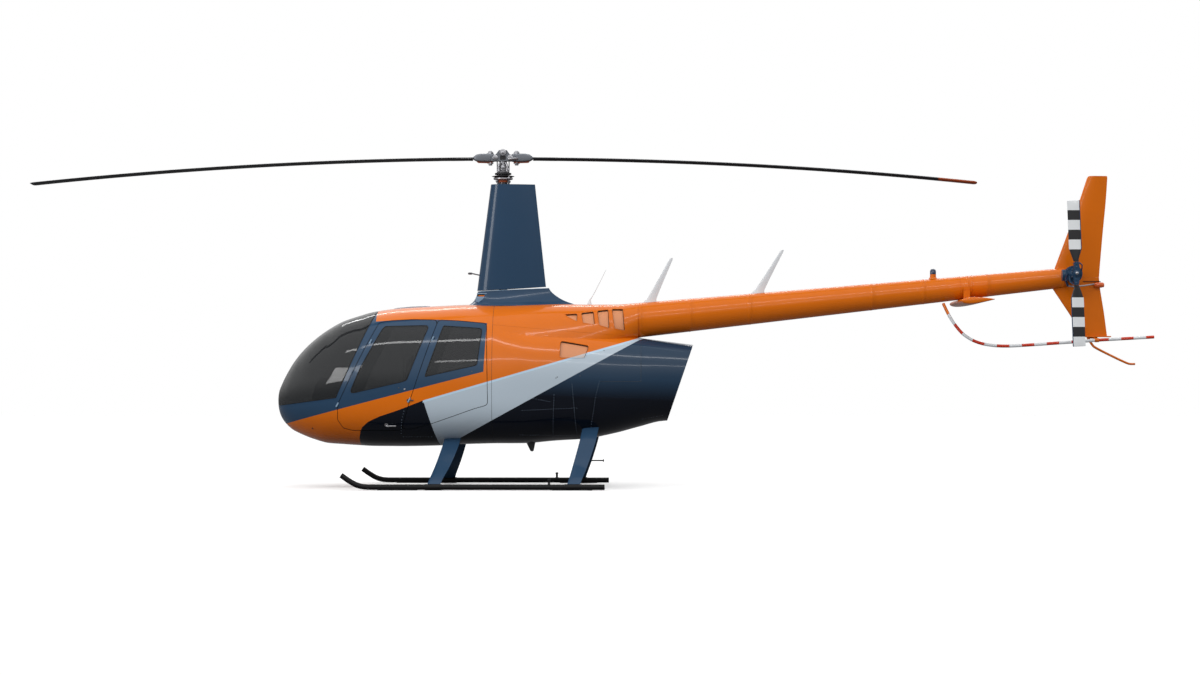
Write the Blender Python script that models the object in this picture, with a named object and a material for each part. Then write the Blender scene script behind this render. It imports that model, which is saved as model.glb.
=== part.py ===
"""Light turbine helicopter with two-blade rotors, four doors and a skid landing gear.

Metres, +Z up, nose towards -X, left side towards -Y, skid shoes on Z = 0.
Outlines are measured from the mast axis (X = 0 there) and shifted by MAST_X when a mesh is made.
"""
import math

import bmesh
import bpy
import numpy as np
from mathutils import Matrix, Vector

# Driving dimensions
MAST_X = -0.8925
GAP = 0.0003
WALL = 0.035
GLASS = 0.006
COWL_WALL = 0.018
DOOR_GAP = 0.006
PLUG_SLOPE = 0.45
PLUG_DEPTH = 0.06
WELD = 1e-6
ROTOR_RADIUS = 4.90
BLADE_CHORD = 0.254
HUB_Z = 3.416
BLADE_DROOP = 0.0106
TAIL_HUB = (5.87, -0.42, 2.19)
TAIL_RADIUS = 0.745
TAIL_CHORD = 0.13
BOOM_FRONT_RADIUS = 0.180
BOOM_REAR_RADIUS = 0.101
BOOM_FRONT_Z = 1.721
BOOM_REAR_Z = 2.159
SKID_Y = 1.10
SKID_RADIUS = 0.0275
SEAM_X = -0.08
RING = 32

# Fuselage stations: X, half width, bottom, widest height, top, upper and lower roundness
CABIN = [
    (-2.330, 0.030, 0.860, 0.890, 0.920, 2.0, 2.0),
    (-2.322, 0.090, 0.795, 0.890, 0.985, 2.0, 2.0),
    (-2.297, 0.165, 0.719, 0.890, 1.051, 2.0, 2.0),
    (-2.235, 0.270, 0.636, 0.890, 1.176, 2.0, 2.1),
    (-2.172, 0.340, 0.584, 0.890, 1.280, 2.1, 2.2),
    (-2.110, 0.395, 0.553, 0.893, 1.363, 2.1, 2.3),
    (-1.954, 0.505, 0.491, 0.900, 1.518, 2.2, 2.4),
    (-1.798, 0.580, 0.450, 0.910, 1.632, 2.2, 2.5),
    (-1.642, 0.633, 0.439, 0.920, 1.715, 2.3, 2.6),
    (-1.486, 0.672, 0.429, 0.930, 1.767, 2.3, 2.7),
    (-1.331, 0.700, 0.421, 0.940, 1.809, 2.4, 2.8),
    (-1.019, 0.730, 0.419, 0.950, 1.850, 2.4, 2.8),
    (-0.707, 0.735, 0.424, 0.950, 1.866, 2.4, 2.8),
    (-0.395, 0.722, 0.440, 0.950, 1.881, 2.4, 2.8),
    (SEAM_X, 0.690, 0.449, 0.950, 1.887, 2.4, 2.8),
]
COWL = [
    (SEAM_X, 0.690, 0.449, 0.950, 1.887, 2.4, 2.8),
    (0.080, 0.673, 0.449, 0.952, 1.770, 2.8, 2.8),
    (0.228, 0.650, 0.450, 0.955, 1.700, 3.1, 2.8),
    (0.540, 0.592, 0.476, 0.970, 1.650, 3.1, 2.7),
    (0.850, 0.523, 0.496, 0.985, 1.615, 3.0, 2.6),
    (1.160, 0.449, 0.554, 1.010, 1.578, 2.8, 2.5),
    (1.400, 0.388, 0.618, 1.040, 1.541, 2.7, 2.4),
    (1.650, 0.325, 0.679, 1.070, 1.508, 2.6, 2.3),
    (2.050, 0.235, 0.700, 1.090, 1.456, 2.4, 2.2),
]
ROOF = [
    (SEAM_X, 0.690, 0.449, 0.950, 1.887, 2.4, 2.8),
    (0.228, 0.580, 0.700, 1.110, 1.891, 2.4, 2.6),
    (0.540, 0.480, 0.920, 1.270, 1.891, 2.3, 2.4),
    (0.850, 0.378, 1.150, 1.430, 1.885, 2.2, 2.2),
    (1.160, 0.275, 1.360, 1.590, 1.885, 2.1, 2.1),
    (1.400, 0.190, 1.525, 1.715, 1.901, 2.0, 2.0),
]

GRILLES = [
    [(0.640, 1.780), (0.782, 1.787), (0.782, 1.698), (0.685, 1.749)],
    [(0.813, 1.795), (0.948, 1.810), (0.963, 1.667), (0.836, 1.689)],
    [(0.978, 1.817), (1.098, 1.832), (1.113, 1.629), (1.001, 1.667)],
    [(1.126, 1.837), (1.249, 1.837), (1.271, 1.605), (1.159, 1.629)],
]
INTAKE = [(0.610, 1.507), (0.909, 1.455), (0.864, 1.328), (0.602, 1.328)]

# Line along the side where the roof cowling meets the engine cowl: X and Z
RIDGE = [(-0.30, 1.690), (0.00, 1.660), (1.40, 1.545), (2.40, 1.545)]

# Side outlines of the openings: X and Z
FRONT_DOOR = [(-1.243, 1.690), (-1.110, 1.712), (-0.900, 1.722), (-0.634, 1.718),
              (-0.760, 1.340), (-0.905, 0.900), (-1.000, 0.590), (-1.500, 0.590),
              (-1.600, 0.615), (-1.655, 0.700), (-1.648, 0.860), (-1.445, 1.290)]
REAR_DOOR = [(-0.634, 1.718), (-0.434, 1.709), (-0.140, 1.682), (-0.127, 1.200),
             (-0.120, 0.850), (-0.248, 0.815), (-0.500, 0.726), (-0.699, 0.657),
             (-0.888, 0.606), (-0.995, 0.606), (-0.905, 0.900), (-0.760, 1.340)]
FRONT_WINDOW = [(-1.177, 1.654), (-0.720, 1.664), (-0.938, 1.100), (-1.000, 1.079),
                (-1.535, 0.959), (-1.416, 1.235), (-1.208, 1.623)]
REAR_WINDOW = [(-0.574, 1.659), (-0.180, 1.632), (-0.226, 1.266), (-0.241, 1.250),
               (-0.749, 1.136), (-0.755, 1.151), (-0.584, 1.649)]
WINDSHIELD = [(-2.40, 0.845), (-2.28, 0.845), (-1.672, 0.925), (-1.285, 1.800),
              (-1.26, 2.05), (-2.40, 2.05)]

MATERIALS = {
    "blue_paint": ((0.012, 0.045, 0.10), 0.25, 0.0),
    "orange_paint": ((0.75, 0.17, 0.02), 0.25, 0.0),
    "navy_paint": ((0.006, 0.014, 0.03), 0.25, 0.0),
    "black_paint": ((0.015, 0.015, 0.017), 0.45, 0.0),
    "blade_paint": ((0.03, 0.03, 0.035), 0.45, 0.0),
    "glass": ((0.03, 0.03, 0.03), 0.05, 0.0),
    "seat_leather": ((0.12, 0.10, 0.08), 0.6, 0.0),
    "trim_plastic": ((0.03, 0.03, 0.03), 0.5, 0.0),
    "engine_metal": ((0.35, 0.35, 0.36), 0.4, 1.0),
    "steel": ((0.55, 0.55, 0.57), 0.3, 1.0),
    "white_paint": ((0.8, 0.8, 0.8), 0.35, 0.0),
    "lamp": ((0.7, 0.2, 0.03), 0.2, 0.0),
}


def clear_scene():
    for item in list(bpy.data.objects):
        bpy.data.objects.remove(item, do_unlink=True)


def material(name):
    found = bpy.data.materials.get(name)
    if found:
        return found
    colour, rough, metal = MATERIALS[name]
    made = bpy.data.materials.new(name)
    made.use_nodes = True
    shader = made.node_tree.nodes["Principled BSDF"]
    shader.inputs["Base Color"].default_value = (*colour, 1.0)
    shader.inputs["Roughness"].default_value = rough
    shader.inputs["Metallic"].default_value = metal
    return made


def new_object(name, verts, faces):
    """A closed mesh in the mast frame, with its faces pointing out."""
    mesh = bpy.data.meshes.new(name)
    mesh.from_pydata([tuple(v) for v in verts], [], faces)
    bm = bmesh.new()
    bm.from_mesh(mesh)
    bmesh.ops.triangulate(bm, faces=bm.faces)
    bmesh.ops.recalc_face_normals(bm, faces=bm.faces)
    bm.to_mesh(mesh)
    bm.free()
    obj = bpy.data.objects.new(name, mesh)
    bpy.context.scene.collection.objects.link(obj)
    return obj


def loft(name, rings):
    """Skin through closed rings of equal length, with flat ends."""
    count = len(rings[0])
    verts = [v for ring in rings for v in ring]
    faces = []
    for level in range(len(rings) - 1):
        low = level * count
        for i in range(count):
            j = (i + 1) % count
            faces.append((low + i, low + j, low + count + j, low + count + i))
    faces.append(tuple(range(count)))
    top = (len(rings) - 1) * count
    faces.append(tuple(reversed(range(top, top + count))))
    return new_object(name, verts, faces)


def solid(name, bm):
    """Object from the bmesh, with triangles only."""
    bmesh.ops.triangulate(bm, faces=bm.faces)
    mesh = bpy.data.meshes.new(name)
    bm.to_mesh(mesh)
    bm.free()
    obj = bpy.data.objects.new(name, mesh)
    bpy.context.scene.collection.objects.link(obj)
    return obj


def solid_from_curve(name, curve, place):
    """The curve's mesh with its caps welded, in place."""
    guide = bpy.data.objects.new(name, curve)
    bpy.context.scene.collection.objects.link(guide)
    guide.matrix_world = place
    graph = bpy.context.evaluated_depsgraph_get()
    mesh = bpy.data.meshes.new_from_object(guide.evaluated_get(graph))
    bpy.data.objects.remove(guide, do_unlink=True)
    bpy.data.curves.remove(curve)
    bm = bmesh.new()
    bm.from_mesh(mesh)
    bpy.data.meshes.remove(mesh)
    bmesh.ops.remove_doubles(bm, verts=bm.verts, dist=WELD)
    bmesh.ops.transform(bm, matrix=place, verts=bm.verts)
    bmesh.ops.recalc_face_normals(bm, faces=bm.faces)
    return solid(name, bm)


def box(name, low, high):
    centre = [(a + b) / 2 for a, b in zip(low, high)]
    size = [b - a for a, b in zip(low, high)]
    bm = bmesh.new()
    bmesh.ops.create_cube(bm, size=1.0, matrix=Matrix.Translation(centre) @ Matrix.Diagonal((*size, 1)))
    return solid(name, bm)


def cylinder(name, start, end, radius, end_radius=None, sides=20):
    along = Vector(end) - Vector(start)
    place = Matrix.Translation((Vector(start) + Vector(end)) / 2) @ along.to_track_quat("Z", "Y").to_matrix().to_4x4()
    bm = bmesh.new()
    bmesh.ops.create_cone(bm, cap_ends=True, segments=sides, radius1=radius,
                          radius2=radius if end_radius is None else end_radius,
                          depth=along.length, matrix=place)
    return solid(name, bm)


def tube_path(name, points, radius, end_radius=None, sides=12):
    """Round bar along a path."""
    curve = bpy.data.curves.new(name, "CURVE")
    curve.dimensions = "3D"
    curve.bevel_depth = radius
    curve.bevel_resolution = (sides - 4) // 2
    curve.use_fill_caps = True
    spline = curve.splines.new("POLY")
    spline.points.add(len(points) - 1)
    last = 1.0 if end_radius is None else end_radius / radius
    for i, (spot, point) in enumerate(zip(points, spline.points)):
        point.co = (*spot, 1.0)
        point.radius = 1.0 + (last - 1.0) * i / (len(points) - 1)
    return solid_from_curve(name, curve, Matrix.Identity(4))


def prism_y(name, outline, y_low, y_high):
    """Flat side outline given as X and Z, from one Y to another."""
    curve = bpy.data.curves.new(name, "CURVE")
    curve.dimensions = "2D"
    curve.fill_mode = "BOTH"
    curve.extrude = (y_high - y_low) / 2
    spline = curve.splines.new("POLY")
    spline.points.add(len(outline) - 1)
    for (x, z), point in zip(outline, spline.points):
        point.co = (x, z, 0.0, 1.0)
    spline.use_cyclic_u = True
    place = Matrix.Translation((0, (y_low + y_high) / 2, 0)) @ Matrix.Rotation(math.pi / 2, 4, "X")
    return solid_from_curve(name, curve, place)


def boolean(obj, other, operation):
    mod = obj.modifiers.new(operation, "BOOLEAN")
    mod.operation = operation
    mod.solver = "EXACT"
    mod.object = other
    graph = bpy.context.evaluated_depsgraph_get()
    mesh = bpy.data.meshes.new_from_object(obj.evaluated_get(graph))
    obj.modifiers.clear()
    old = obj.data
    obj.data = mesh
    bpy.data.meshes.remove(old)
    bpy.data.objects.remove(other, do_unlink=True)
    return obj


def cut(obj, other):
    return boolean(obj, other, "DIFFERENCE")


def keep(obj, other):
    return boolean(obj, other, "INTERSECT")


def join(obj, other):
    return boolean(obj, other, "UNION")


def copy_of(obj, name):
    twin = obj.copy()
    twin.data = obj.data.copy()
    twin.name = name
    bpy.context.scene.collection.objects.link(twin)
    return twin


def mirrored(obj, name):
    """The same piece on the right side."""
    twin = copy_of(obj, name)
    bm = bmesh.new()
    bm.from_mesh(twin.data)
    bmesh.ops.scale(bm, vec=(1, -1, 1), verts=bm.verts)
    bmesh.ops.reverse_faces(bm, faces=bm.faces)
    bm.to_mesh(twin.data)
    bm.free()
    return twin


def finish(obj, name, slot, pivot=(0.0, 0.0, 0.0)):
    """Name the piece, shift it into the part's frame and put its origin on its pivot."""
    obj.name = name
    obj.data.name = name
    bm = bmesh.new()
    bm.from_mesh(obj.data)
    bmesh.ops.remove_doubles(bm, verts=bm.verts, dist=1e-6)
    bmesh.ops.dissolve_degenerate(bm, edges=bm.edges, dist=1e-6)
    bmesh.ops.triangulate(bm, faces=[f for f in bm.faces if len(f.verts) > 4])
    origin = Vector((pivot[0] + MAST_X, pivot[1], pivot[2])) if any(pivot) else Vector()
    bmesh.ops.translate(bm, vec=Vector((MAST_X, 0, 0)) - origin, verts=bm.verts)
    bmesh.ops.recalc_face_normals(bm, faces=bm.faces)
    bm.to_mesh(obj.data)
    bm.free()
    obj.location = origin
    obj.data.materials.clear()
    obj.data.materials.append(material(slot))
    for collection in list(obj.users_collection):
        collection.objects.unlink(obj)
    bpy.data.collections["helicopter"].objects.link(obj)
    return obj


def section(station, shrink=0.0, shift=0.0):
    """Rounded ring across the fuselage at one station."""
    x, half, low, mid, high, upper, lower = station
    half = max(half - shrink, 0.01)
    top = max(high - mid - shrink, 0.01)
    bottom = max(mid - low - shrink, 0.01)
    ring = []
    for i in range(RING):
        a = 2 * math.pi * (i + 0.5) / RING
        power = upper if math.sin(a) > 0 else lower
        reach = top if math.sin(a) > 0 else bottom
        y = half * math.copysign(abs(math.cos(a)) ** (2 / power), math.cos(a))
        z = mid + reach * math.copysign(abs(math.sin(a)) ** (2 / power), math.sin(a))
        ring.append((x + shift, y, z))
    return ring


def at(stations, x):
    """Station values interpolated at X."""
    xs = [s[0] for s in stations]
    return (x,) + tuple(float(np.interp(x, xs, [s[k] for s in stations])) for k in range(1, 7))


def cabin_solid(name, shrink=0.0, aft=SEAM_X):
    """The cabin's outer shape, or one inset from it."""
    stations = [s for s in CABIN]
    if shrink:
        nose = stations[0][0] + shrink
        inner = [at(CABIN, nose + 0.004), at(CABIN, nose + 0.02), at(CABIN, nose + 0.06)]
        stations = inner + [s for s in CABIN if s[0] > nose + 0.08]
    rings = [section(s, shrink) for s in stations]
    if shrink:
        rings[0] = [(p[0], p[1] * 0.55, 0.89 + (p[2] - 0.89) * 0.55) for p in rings[0]]
    if aft != SEAM_X:
        last = section(CABIN[-1], shrink, aft - SEAM_X)
        rings.append(last)
    return loft(name, rings)


def rounded(outline, radius=0.03, steps=3):
    """Outline with its corners rounded."""
    made = []
    count = len(outline)
    for i in range(count):
        prev = Vector(outline[i - 1])
        here = Vector(outline[i])
        ahead = Vector(outline[(i + 1) % count])
        back = prev - here
        forth = ahead - here
        turn = back.angle(forth)
        if turn > math.radians(150):
            made.append(tuple(here))
            continue
        reach = min(radius / math.tan(turn / 2), back.length * 0.4, forth.length * 0.4)
        start = here + back.normalized() * reach
        end = here + forth.normalized() * reach
        for k in range(steps + 1):
            t = k / steps
            made.append(tuple(start * (1 - t) ** 2 + here * (2 * t * (1 - t)) + end * t ** 2))
    return made


def grown(outline, amount):
    """Outline moved outwards by amount, or inwards if negative."""
    pts = [Vector(p) for p in outline]
    area = sum(a.x * b.y - b.x * a.y for a, b in zip(pts, pts[1:] + pts[:1]))
    sign = 1 if area > 0 else -1
    made = []
    count = len(pts)
    for i in range(count):
        before = (pts[i] - pts[i - 1]).normalized()
        after = (pts[(i + 1) % count] - pts[i]).normalized()
        normal = Vector((before.y + after.y, -before.x - after.x)).normalized() * sign
        flat = Vector((after.y, -after.x)) * sign
        made.append(tuple(pts[i] + normal * (amount / max(normal.dot(flat), 0.3))))
    return made


def airfoil(chord, thick, steps=8):
    """Streamlined outline, leading edge at 0 and trailing edge at the chord."""
    upper = []
    for i in range(steps + 1):
        t = 0.5 * (1 - math.cos(math.pi * i / steps))
        y = 5 * thick * chord * (0.2969 * math.sqrt(t) - 0.126 * t - 0.3516 * t * t
                         + 0.2843 * t ** 3 - 0.0986 * t ** 4)
        upper.append((t * chord, y + 0.001))
    return upper + [(x, -y) for x, y in reversed(upper)]


# Cabin with its windshield halves
def build_cabin():
    shell = cabin_solid("cabin_shell")
    cut(shell, cabin_solid("inside", WALL, SEAM_X + 0.1))
    for side in (-1, 1):
        cut(shell, prism_y("pane", WINDSHIELD, *sorted((side * 0.018, side * 0.9))))
        outline = rounded(grown(FRONT_DOOR, DOOR_GAP / 2), 0.05)
        cut(shell, prism_y("door", outline, *sorted((side * 0.3, side * 0.9))))
        outline = rounded(grown(REAR_DOOR, DOOR_GAP / 2), 0.05)
        cut(shell, prism_y("door", outline, *sorted((side * 0.3, side * 0.9))))
    finish(shell, "cabin_shell", "blue_paint")

    pane = cabin_solid("windshield_left")
    cut(pane, cabin_solid("inside", GLASS, SEAM_X + 0.1))
    keep(pane, prism_y("pane", grown(WINDSHIELD, -0.0006), -0.9, -0.0186))
    twin = mirrored(pane, "windshield_right")
    finish(pane, "windshield_left", "glass")
    finish(twin, "windshield_right", "glass")


def skin_y(x, z):
    """Half width of the cabin's skin at a point of its side."""
    _, half, low, mid, high, upper, lower = at(CABIN, x)
    power, reach = (upper, high - mid) if z > mid else (lower, mid - low)
    share = min(abs(z - mid) / reach, 0.999)
    return half * (1 - share ** power) ** (1 / power)


def plug(name, outline):
    """Left side cutter whose walls lean in with depth below the skin, so that a door swings clear."""
    edge = rounded(grown(outline, -DOOR_GAP / 2), 0.045)
    narrow = grown(edge, -PLUG_SLOPE * PLUG_DEPTH)
    rings = [[(x, -1.0, z) for x, z in edge],
             [(x, -skin_y(x, z), z) for x, z in edge],
             [(x, PLUG_DEPTH - skin_y(*outer), z) for (x, z), outer in zip(narrow, edge)],
             [(x, -0.1, z) for x, z in narrow]]
    return loft(name, rings)


def build_door(name, outline, window):
    slab = cabin_solid(name)
    cut(slab, cabin_solid("inside", WALL, SEAM_X + 0.1))
    keep(slab, plug("edge", outline))
    cut(slab, prism_y("hole", rounded(window, 0.03), -0.95, -0.25))
    pane = cabin_solid(name + "_pane")
    cut(pane, cabin_solid("inside", GLASS, SEAM_X + 0.1))
    keep(pane, prism_y("edge", rounded(grown(window, -0.0006), 0.03), -0.9, -0.3))
    return slab, pane


def build_doors():
    for word, outline, window, low, high in (
            ("front", FRONT_DOOR, FRONT_WINDOW, FRONT_HINGE_LOW, FRONT_HINGE_HIGH),
            ("rear", REAR_DOOR, REAR_WINDOW, REAR_HINGE_LOW, REAR_HINGE_HIGH)):
        slab, pane = build_door("door_" + word, outline, window)
        slab_twin = mirrored(slab, "twin")
        pane_twin = mirrored(pane, "twin_pane")
        right = (low[0], -low[1], low[2])
        finish(slab, "door_" + word + "_left", "blue_paint", low)
        finish(pane, "window_" + word + "_left", "glass", low)
        finish(slab_twin, "door_" + word + "_right", "blue_paint", right)
        finish(pane_twin, "window_" + word + "_right", "glass", right)


# Hinge lines just outside the skin: lower and upper points
FRONT_HINGE_LOW = (-1.660, -0.668, 0.849)
FRONT_HINGE_HIGH = (-1.324, -0.668, 1.496)
REAR_HINGE_LOW = (-0.921, -0.765, 0.849)
REAR_HINGE_HIGH = (-0.702, -0.715, 1.515)


# Cabin fittings
def build_interior():
    plate = box("bulkhead", (-0.122, -0.9, 0.3), (-0.092, 0.9, 2.0))
    keep(plate, cabin_solid("inside", WALL + 0.001, SEAM_X + 0.1))
    finish(plate, "rear_bulkhead", "trim_plastic")

    floor = box("floor", (-1.98, -0.9, 0.545), (-0.123, 0.9, 0.560))
    keep(floor, cabin_solid("inside", WALL + 0.002, SEAM_X + 0.1))
    finish(floor, "cabin_floor", "trim_plastic")

    seat = [(-1.42, 0.5605), (-1.42, 0.86), (-1.36, 0.88), (-0.98, 0.85), (-0.92, 1.36),
            (-0.82, 1.36), (-0.88, 0.5605)]
    for side, word in ((-1, "left"), (1, "right")):
        piece = prism_y("seat", seat, *sorted((side * 0.06, side * 0.53)))
        keep(piece, cabin_solid("inside", WALL + 0.004, SEAM_X + 0.1))
        finish(piece, "front_seat_" + word, "seat_leather")
    bench = [(-0.62, 0.5605), (-0.62, 0.86), (-0.56, 0.88), (-0.25, 0.85), (-0.21, 1.45),
             (-0.1225, 1.45), (-0.1225, 0.5605)]
    piece = prism_y("bench", bench, -0.58, 0.58)
    keep(piece, cabin_solid("inside", WALL + 0.004, SEAM_X + 0.1))
    finish(piece, "rear_bench", "seat_leather")

    desk = [(-2.00, 0.5605), (-1.98, 0.90), (-1.86, 1.13), (-1.80, 1.13), (-1.72, 0.90),
            (-1.62, 0.78), (-1.62, 0.5605)]
    piece = prism_y("desk", desk, -0.17, 0.17)
    keep(piece, cabin_solid("inside", WALL + 0.004, SEAM_X + 0.1))
    finish(piece, "instrument_console", "trim_plastic")
    stick = tube_path("stick", [(-1.53, 0, 0.5605), (-1.52, 0, 1.02)], 0.014, sides=12)
    join(stick, tube_path("bar", [(-1.52, -0.30, 0.99), (-1.52, 0.30, 0.99)], 0.012, sides=12))
    finish(stick, "cyclic_stick", "black_paint")


# Engine bay and roof
def cowl_solid(name, shrink=0.0, longer=0.0):
    rings = [section(s, shrink) for s in COWL]
    if longer:
        rings.insert(0, section(COWL[0], shrink, -longer))
    return loft(name, rings)


def roof_solid(name, shrink=0.0, front=0.0, aft=0.0):
    rings = [section(s, shrink) for s in ROOF]
    if front:
        rings.insert(0, section(ROOF[0], shrink, -front))
    if aft:
        rings.append(section(ROOF[-1], shrink, aft))
    return loft(name, rings)


def aft_slice(name, ahead):
    """Everything behind the slanted aft face, moved forwards by ahead."""
    line = [(1.699 - ahead, 0.679), (1.968 - ahead, 1.465)]
    slope = (line[1][0] - line[0][0]) / (line[1][1] - line[0][1])
    low = line[0][0] + slope * (0.3 - line[0][1])
    high = line[0][0] + slope * (2.2 - line[0][1])
    return prism_y(name, [(low, 0.3), (high, 2.2), (3.2, 2.2), (3.2, 0.3)], -1, 1)


def body_solid(name, shrink=0.0, longer=0.0, aft=0.0):
    """The engine cowl's and the roof cowling's shapes in one."""
    return join(cowl_solid(name, shrink, longer), roof_solid("roof", shrink, longer, aft))


def side_part(name, offset, above):
    """Everything above or below the ridge line, moved up by offset."""
    far = 2.6 if above else 0.1
    outline = [(x, z + offset) for x, z in RIDGE]
    return prism_y(name, outline + [(RIDGE[-1][0], far), (RIDGE[0][0], far)], -1, 1)


def build_cowls():
    shell = body_solid("engine_cowl", 0.0, 0.03)
    cut(shell, body_solid("inside", COWL_WALL, 0.06, 0.05))
    cut(shell, box("trim", (-0.5, -1, 0.2), (SEAM_X + GAP, 1, 2.2)))
    roof = copy_of(shell, "roof_cowling")
    cut(shell, side_part("above", -GAP / 2, True))
    cut(shell, aft_slice("slice", 0.0))
    cut(shell, prism_y("intake", rounded(INTAKE, 0.03), -0.8, 0.8))
    finish(shell, "engine_cowl", "navy_paint")

    cut(roof, side_part("below", GAP / 2, False))
    for outline in GRILLES:
        cut(roof, prism_y("grille", rounded(outline, 0.02), -0.6, 0.6))
    cut(roof, cylinder("mast_hole", (0, 0, 1.6), (0, 0, 2.2), 0.11, sides=24))
    finish(roof, "roof_cowling", "orange_paint")

    finish(box("engine", (0.40, -0.24, 0.72), (1.12, 0.24, 1.30)), "engine_block", "engine_metal")
    pipe = tube_path("exhaust", [(1.1205, 0, 1.00), (1.22, 0, 1.00), (1.42, 0, 0.98), (1.66, 0, 0.93)], 0.10, sides=24)
    cut(pipe, tube_path("bore", [(1.17, 0, 1.00), (1.22, 0, 1.00), (1.42, 0, 0.98), (1.71, 0, 0.918)], 0.09, sides=24))
    finish(pipe, "exhaust_duct", "steel")


# Mast
def teardrop(lead, trail, half, z):
    outline = airfoil(trail - lead, 2 * half / (trail - lead), 9)
    return [(lead + x, y, z) for x, y in outline]


def build_mast():
    base = loft("base", [teardrop(-0.354, 0.611, 0.19, 1.8925), teardrop(-0.30, 0.52, 0.14, 1.95),
                         teardrop(-0.268, 0.470, 0.117, 2.045)])
    cut(base, loft("bore", [teardrop(-0.30, 0.45, 0.145, 1.87), teardrop(-0.27, 0.43, 0.115, 1.95),
                            teardrop(-0.246, 0.40, 0.093, 2.06)]))
    finish(base, "mast_base_fairing", "blue_paint")
    mast = loft("mast", [teardrop(-0.268, 0.445, 0.11, 2.0455), teardrop(-0.126, 0.331, 0.085, 3.13)])
    cut(mast, loft("bore", [teardrop(-0.245, 0.38, 0.092, 2.0), teardrop(-0.106, 0.28, 0.069, 3.2)]))
    finish(mast, "mast_fairing", "blue_paint")
    probe = tube_path("pitot", [(-0.262, 0, 2.192), (-0.36, 0, 2.208)], 0.010, sides=10)
    cut(probe, loft("mast", [teardrop(-0.2685, 0.445, 0.111, 2.0455), teardrop(-0.1265, 0.331, 0.086, 3.13)]))
    finish(probe, "pitot_tube", "steel")


# Rotors
def build_main_rotor():
    pivot = (0.0, 0.0, HUB_Z)
    shaft = cylinder("shaft", (0, 0, 1.95), (0, 0, 3.33), 0.042, sides=24)
    join(shaft, cylinder("plate", (0, 0, 3.23), (0, 0, 3.25), 0.10, sides=24))
    finish(shaft, "rotor_shaft", "steel", (1e-9, 0.0, HUB_Z))
    hub = box("hub", (-0.11, -0.055, 3.3303), (0.11, 0.055, 3.47))
    join(hub, cylinder("bolt", (0, -0.09, HUB_Z), (0, 0.09, HUB_Z), 0.03, sides=16))
    for side in (-1, 1):
        arm = tube_path("arm", [(side * 0.08, 0, 3.41), (side * 0.31, 0, 3.405)], 0.052, 0.045, 16)
        join(hub, arm)
    finish(hub, "rotor_hub", "black_paint", (1e-9, 0.0, HUB_Z))

    for side, word in ((-1, "front"), (1, "rear")):
        rings = []
        for reach in (0.3125, 0.45, 1.4, 2.4, 3.4, 4.2, ROTOR_RADIUS):
            chord = BLADE_CHORD if reach > 0.4 else 0.12
            z = HUB_Z - 0.012 - BLADE_DROOP * reach * reach
            outline = airfoil(chord, 0.13 if reach > 0.4 else 0.45, 7)
            rings.append([(side * reach, side * (x - 0.28 * chord), z + y) for x, y in outline])
        finish(loft("blade", rings), "main_blade_" + word, "blade_paint", (1e-9, 0.0, HUB_Z))


def build_tail_rotor():
    hx, hy, hz = TAIL_HUB
    hub = cylinder("hub", (hx, hy - 0.05, hz), (hx, hy + 0.06, hz), 0.035, sides=20)
    join(hub, box("bar", (hx - 0.03, hy - 0.025, hz - 0.12), (hx + 0.03, hy + 0.025, hz + 0.12)))
    finish(hub, "tail_rotor_hub", "blue_paint", TAIL_HUB)
    lean = Matrix.Rotation(math.radians(-2.2), 4, "Y")
    for side, word in ((1, "upper"), (-1, "lower")):
        rings = []
        for reach in (0.1205, 0.20, 0.27, 0.50, TAIL_RADIUS):
            chord = TAIL_CHORD if reach > 0.25 else 0.06 + 0.5 * (reach - 0.12)
            outline = airfoil(chord, 0.13 if reach > 0.25 else 0.35, 6)
            ring = []
            for x, y in outline:
                spot = Vector((side * (x - 0.5 * chord), y, side * reach))
                spot = spot if reach < 0.13 else lean @ spot
                ring.append((hx + spot.x, hy + spot.y, hz + spot.z))
            rings.append(ring)
        finish(loft("blade", rings), "tail_blade_" + word, "white_paint", TAIL_HUB)


# Tail
def tailcone_solid(name, grow=0.0, extra=0.0):
    """Round boom with upright ends, rising towards the tail."""
    front, rear = 1.4003 - extra, 5.809 + extra
    bm = bmesh.new()
    turn = Matrix.Translation(((front + rear) / 2, 0, 0)) @ Matrix.Rotation(math.pi / 2, 4, "Y")
    bmesh.ops.create_cone(bm, cap_ends=True, segments=32, radius1=BOOM_FRONT_RADIUS + grow,
                          radius2=BOOM_REAR_RADIUS + grow, depth=rear - front, matrix=turn)
    slope = (BOOM_REAR_Z - BOOM_FRONT_Z) / (5.809 - 1.4003)
    for vert in bm.verts:
        vert.co.z += BOOM_FRONT_Z + slope * (vert.co.x - 1.4003)
    return solid(name, bm)


def fin(name, outline, thick):
    """Streamlined surface: side outline given as leading and trailing points per height."""
    rings = []
    for z, lead, trail in outline:
        rings.append([(lead + x, y, z) for x, y in airfoil(trail - lead, thick / (trail - lead), 6)])
    return loft(name, rings)


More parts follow.
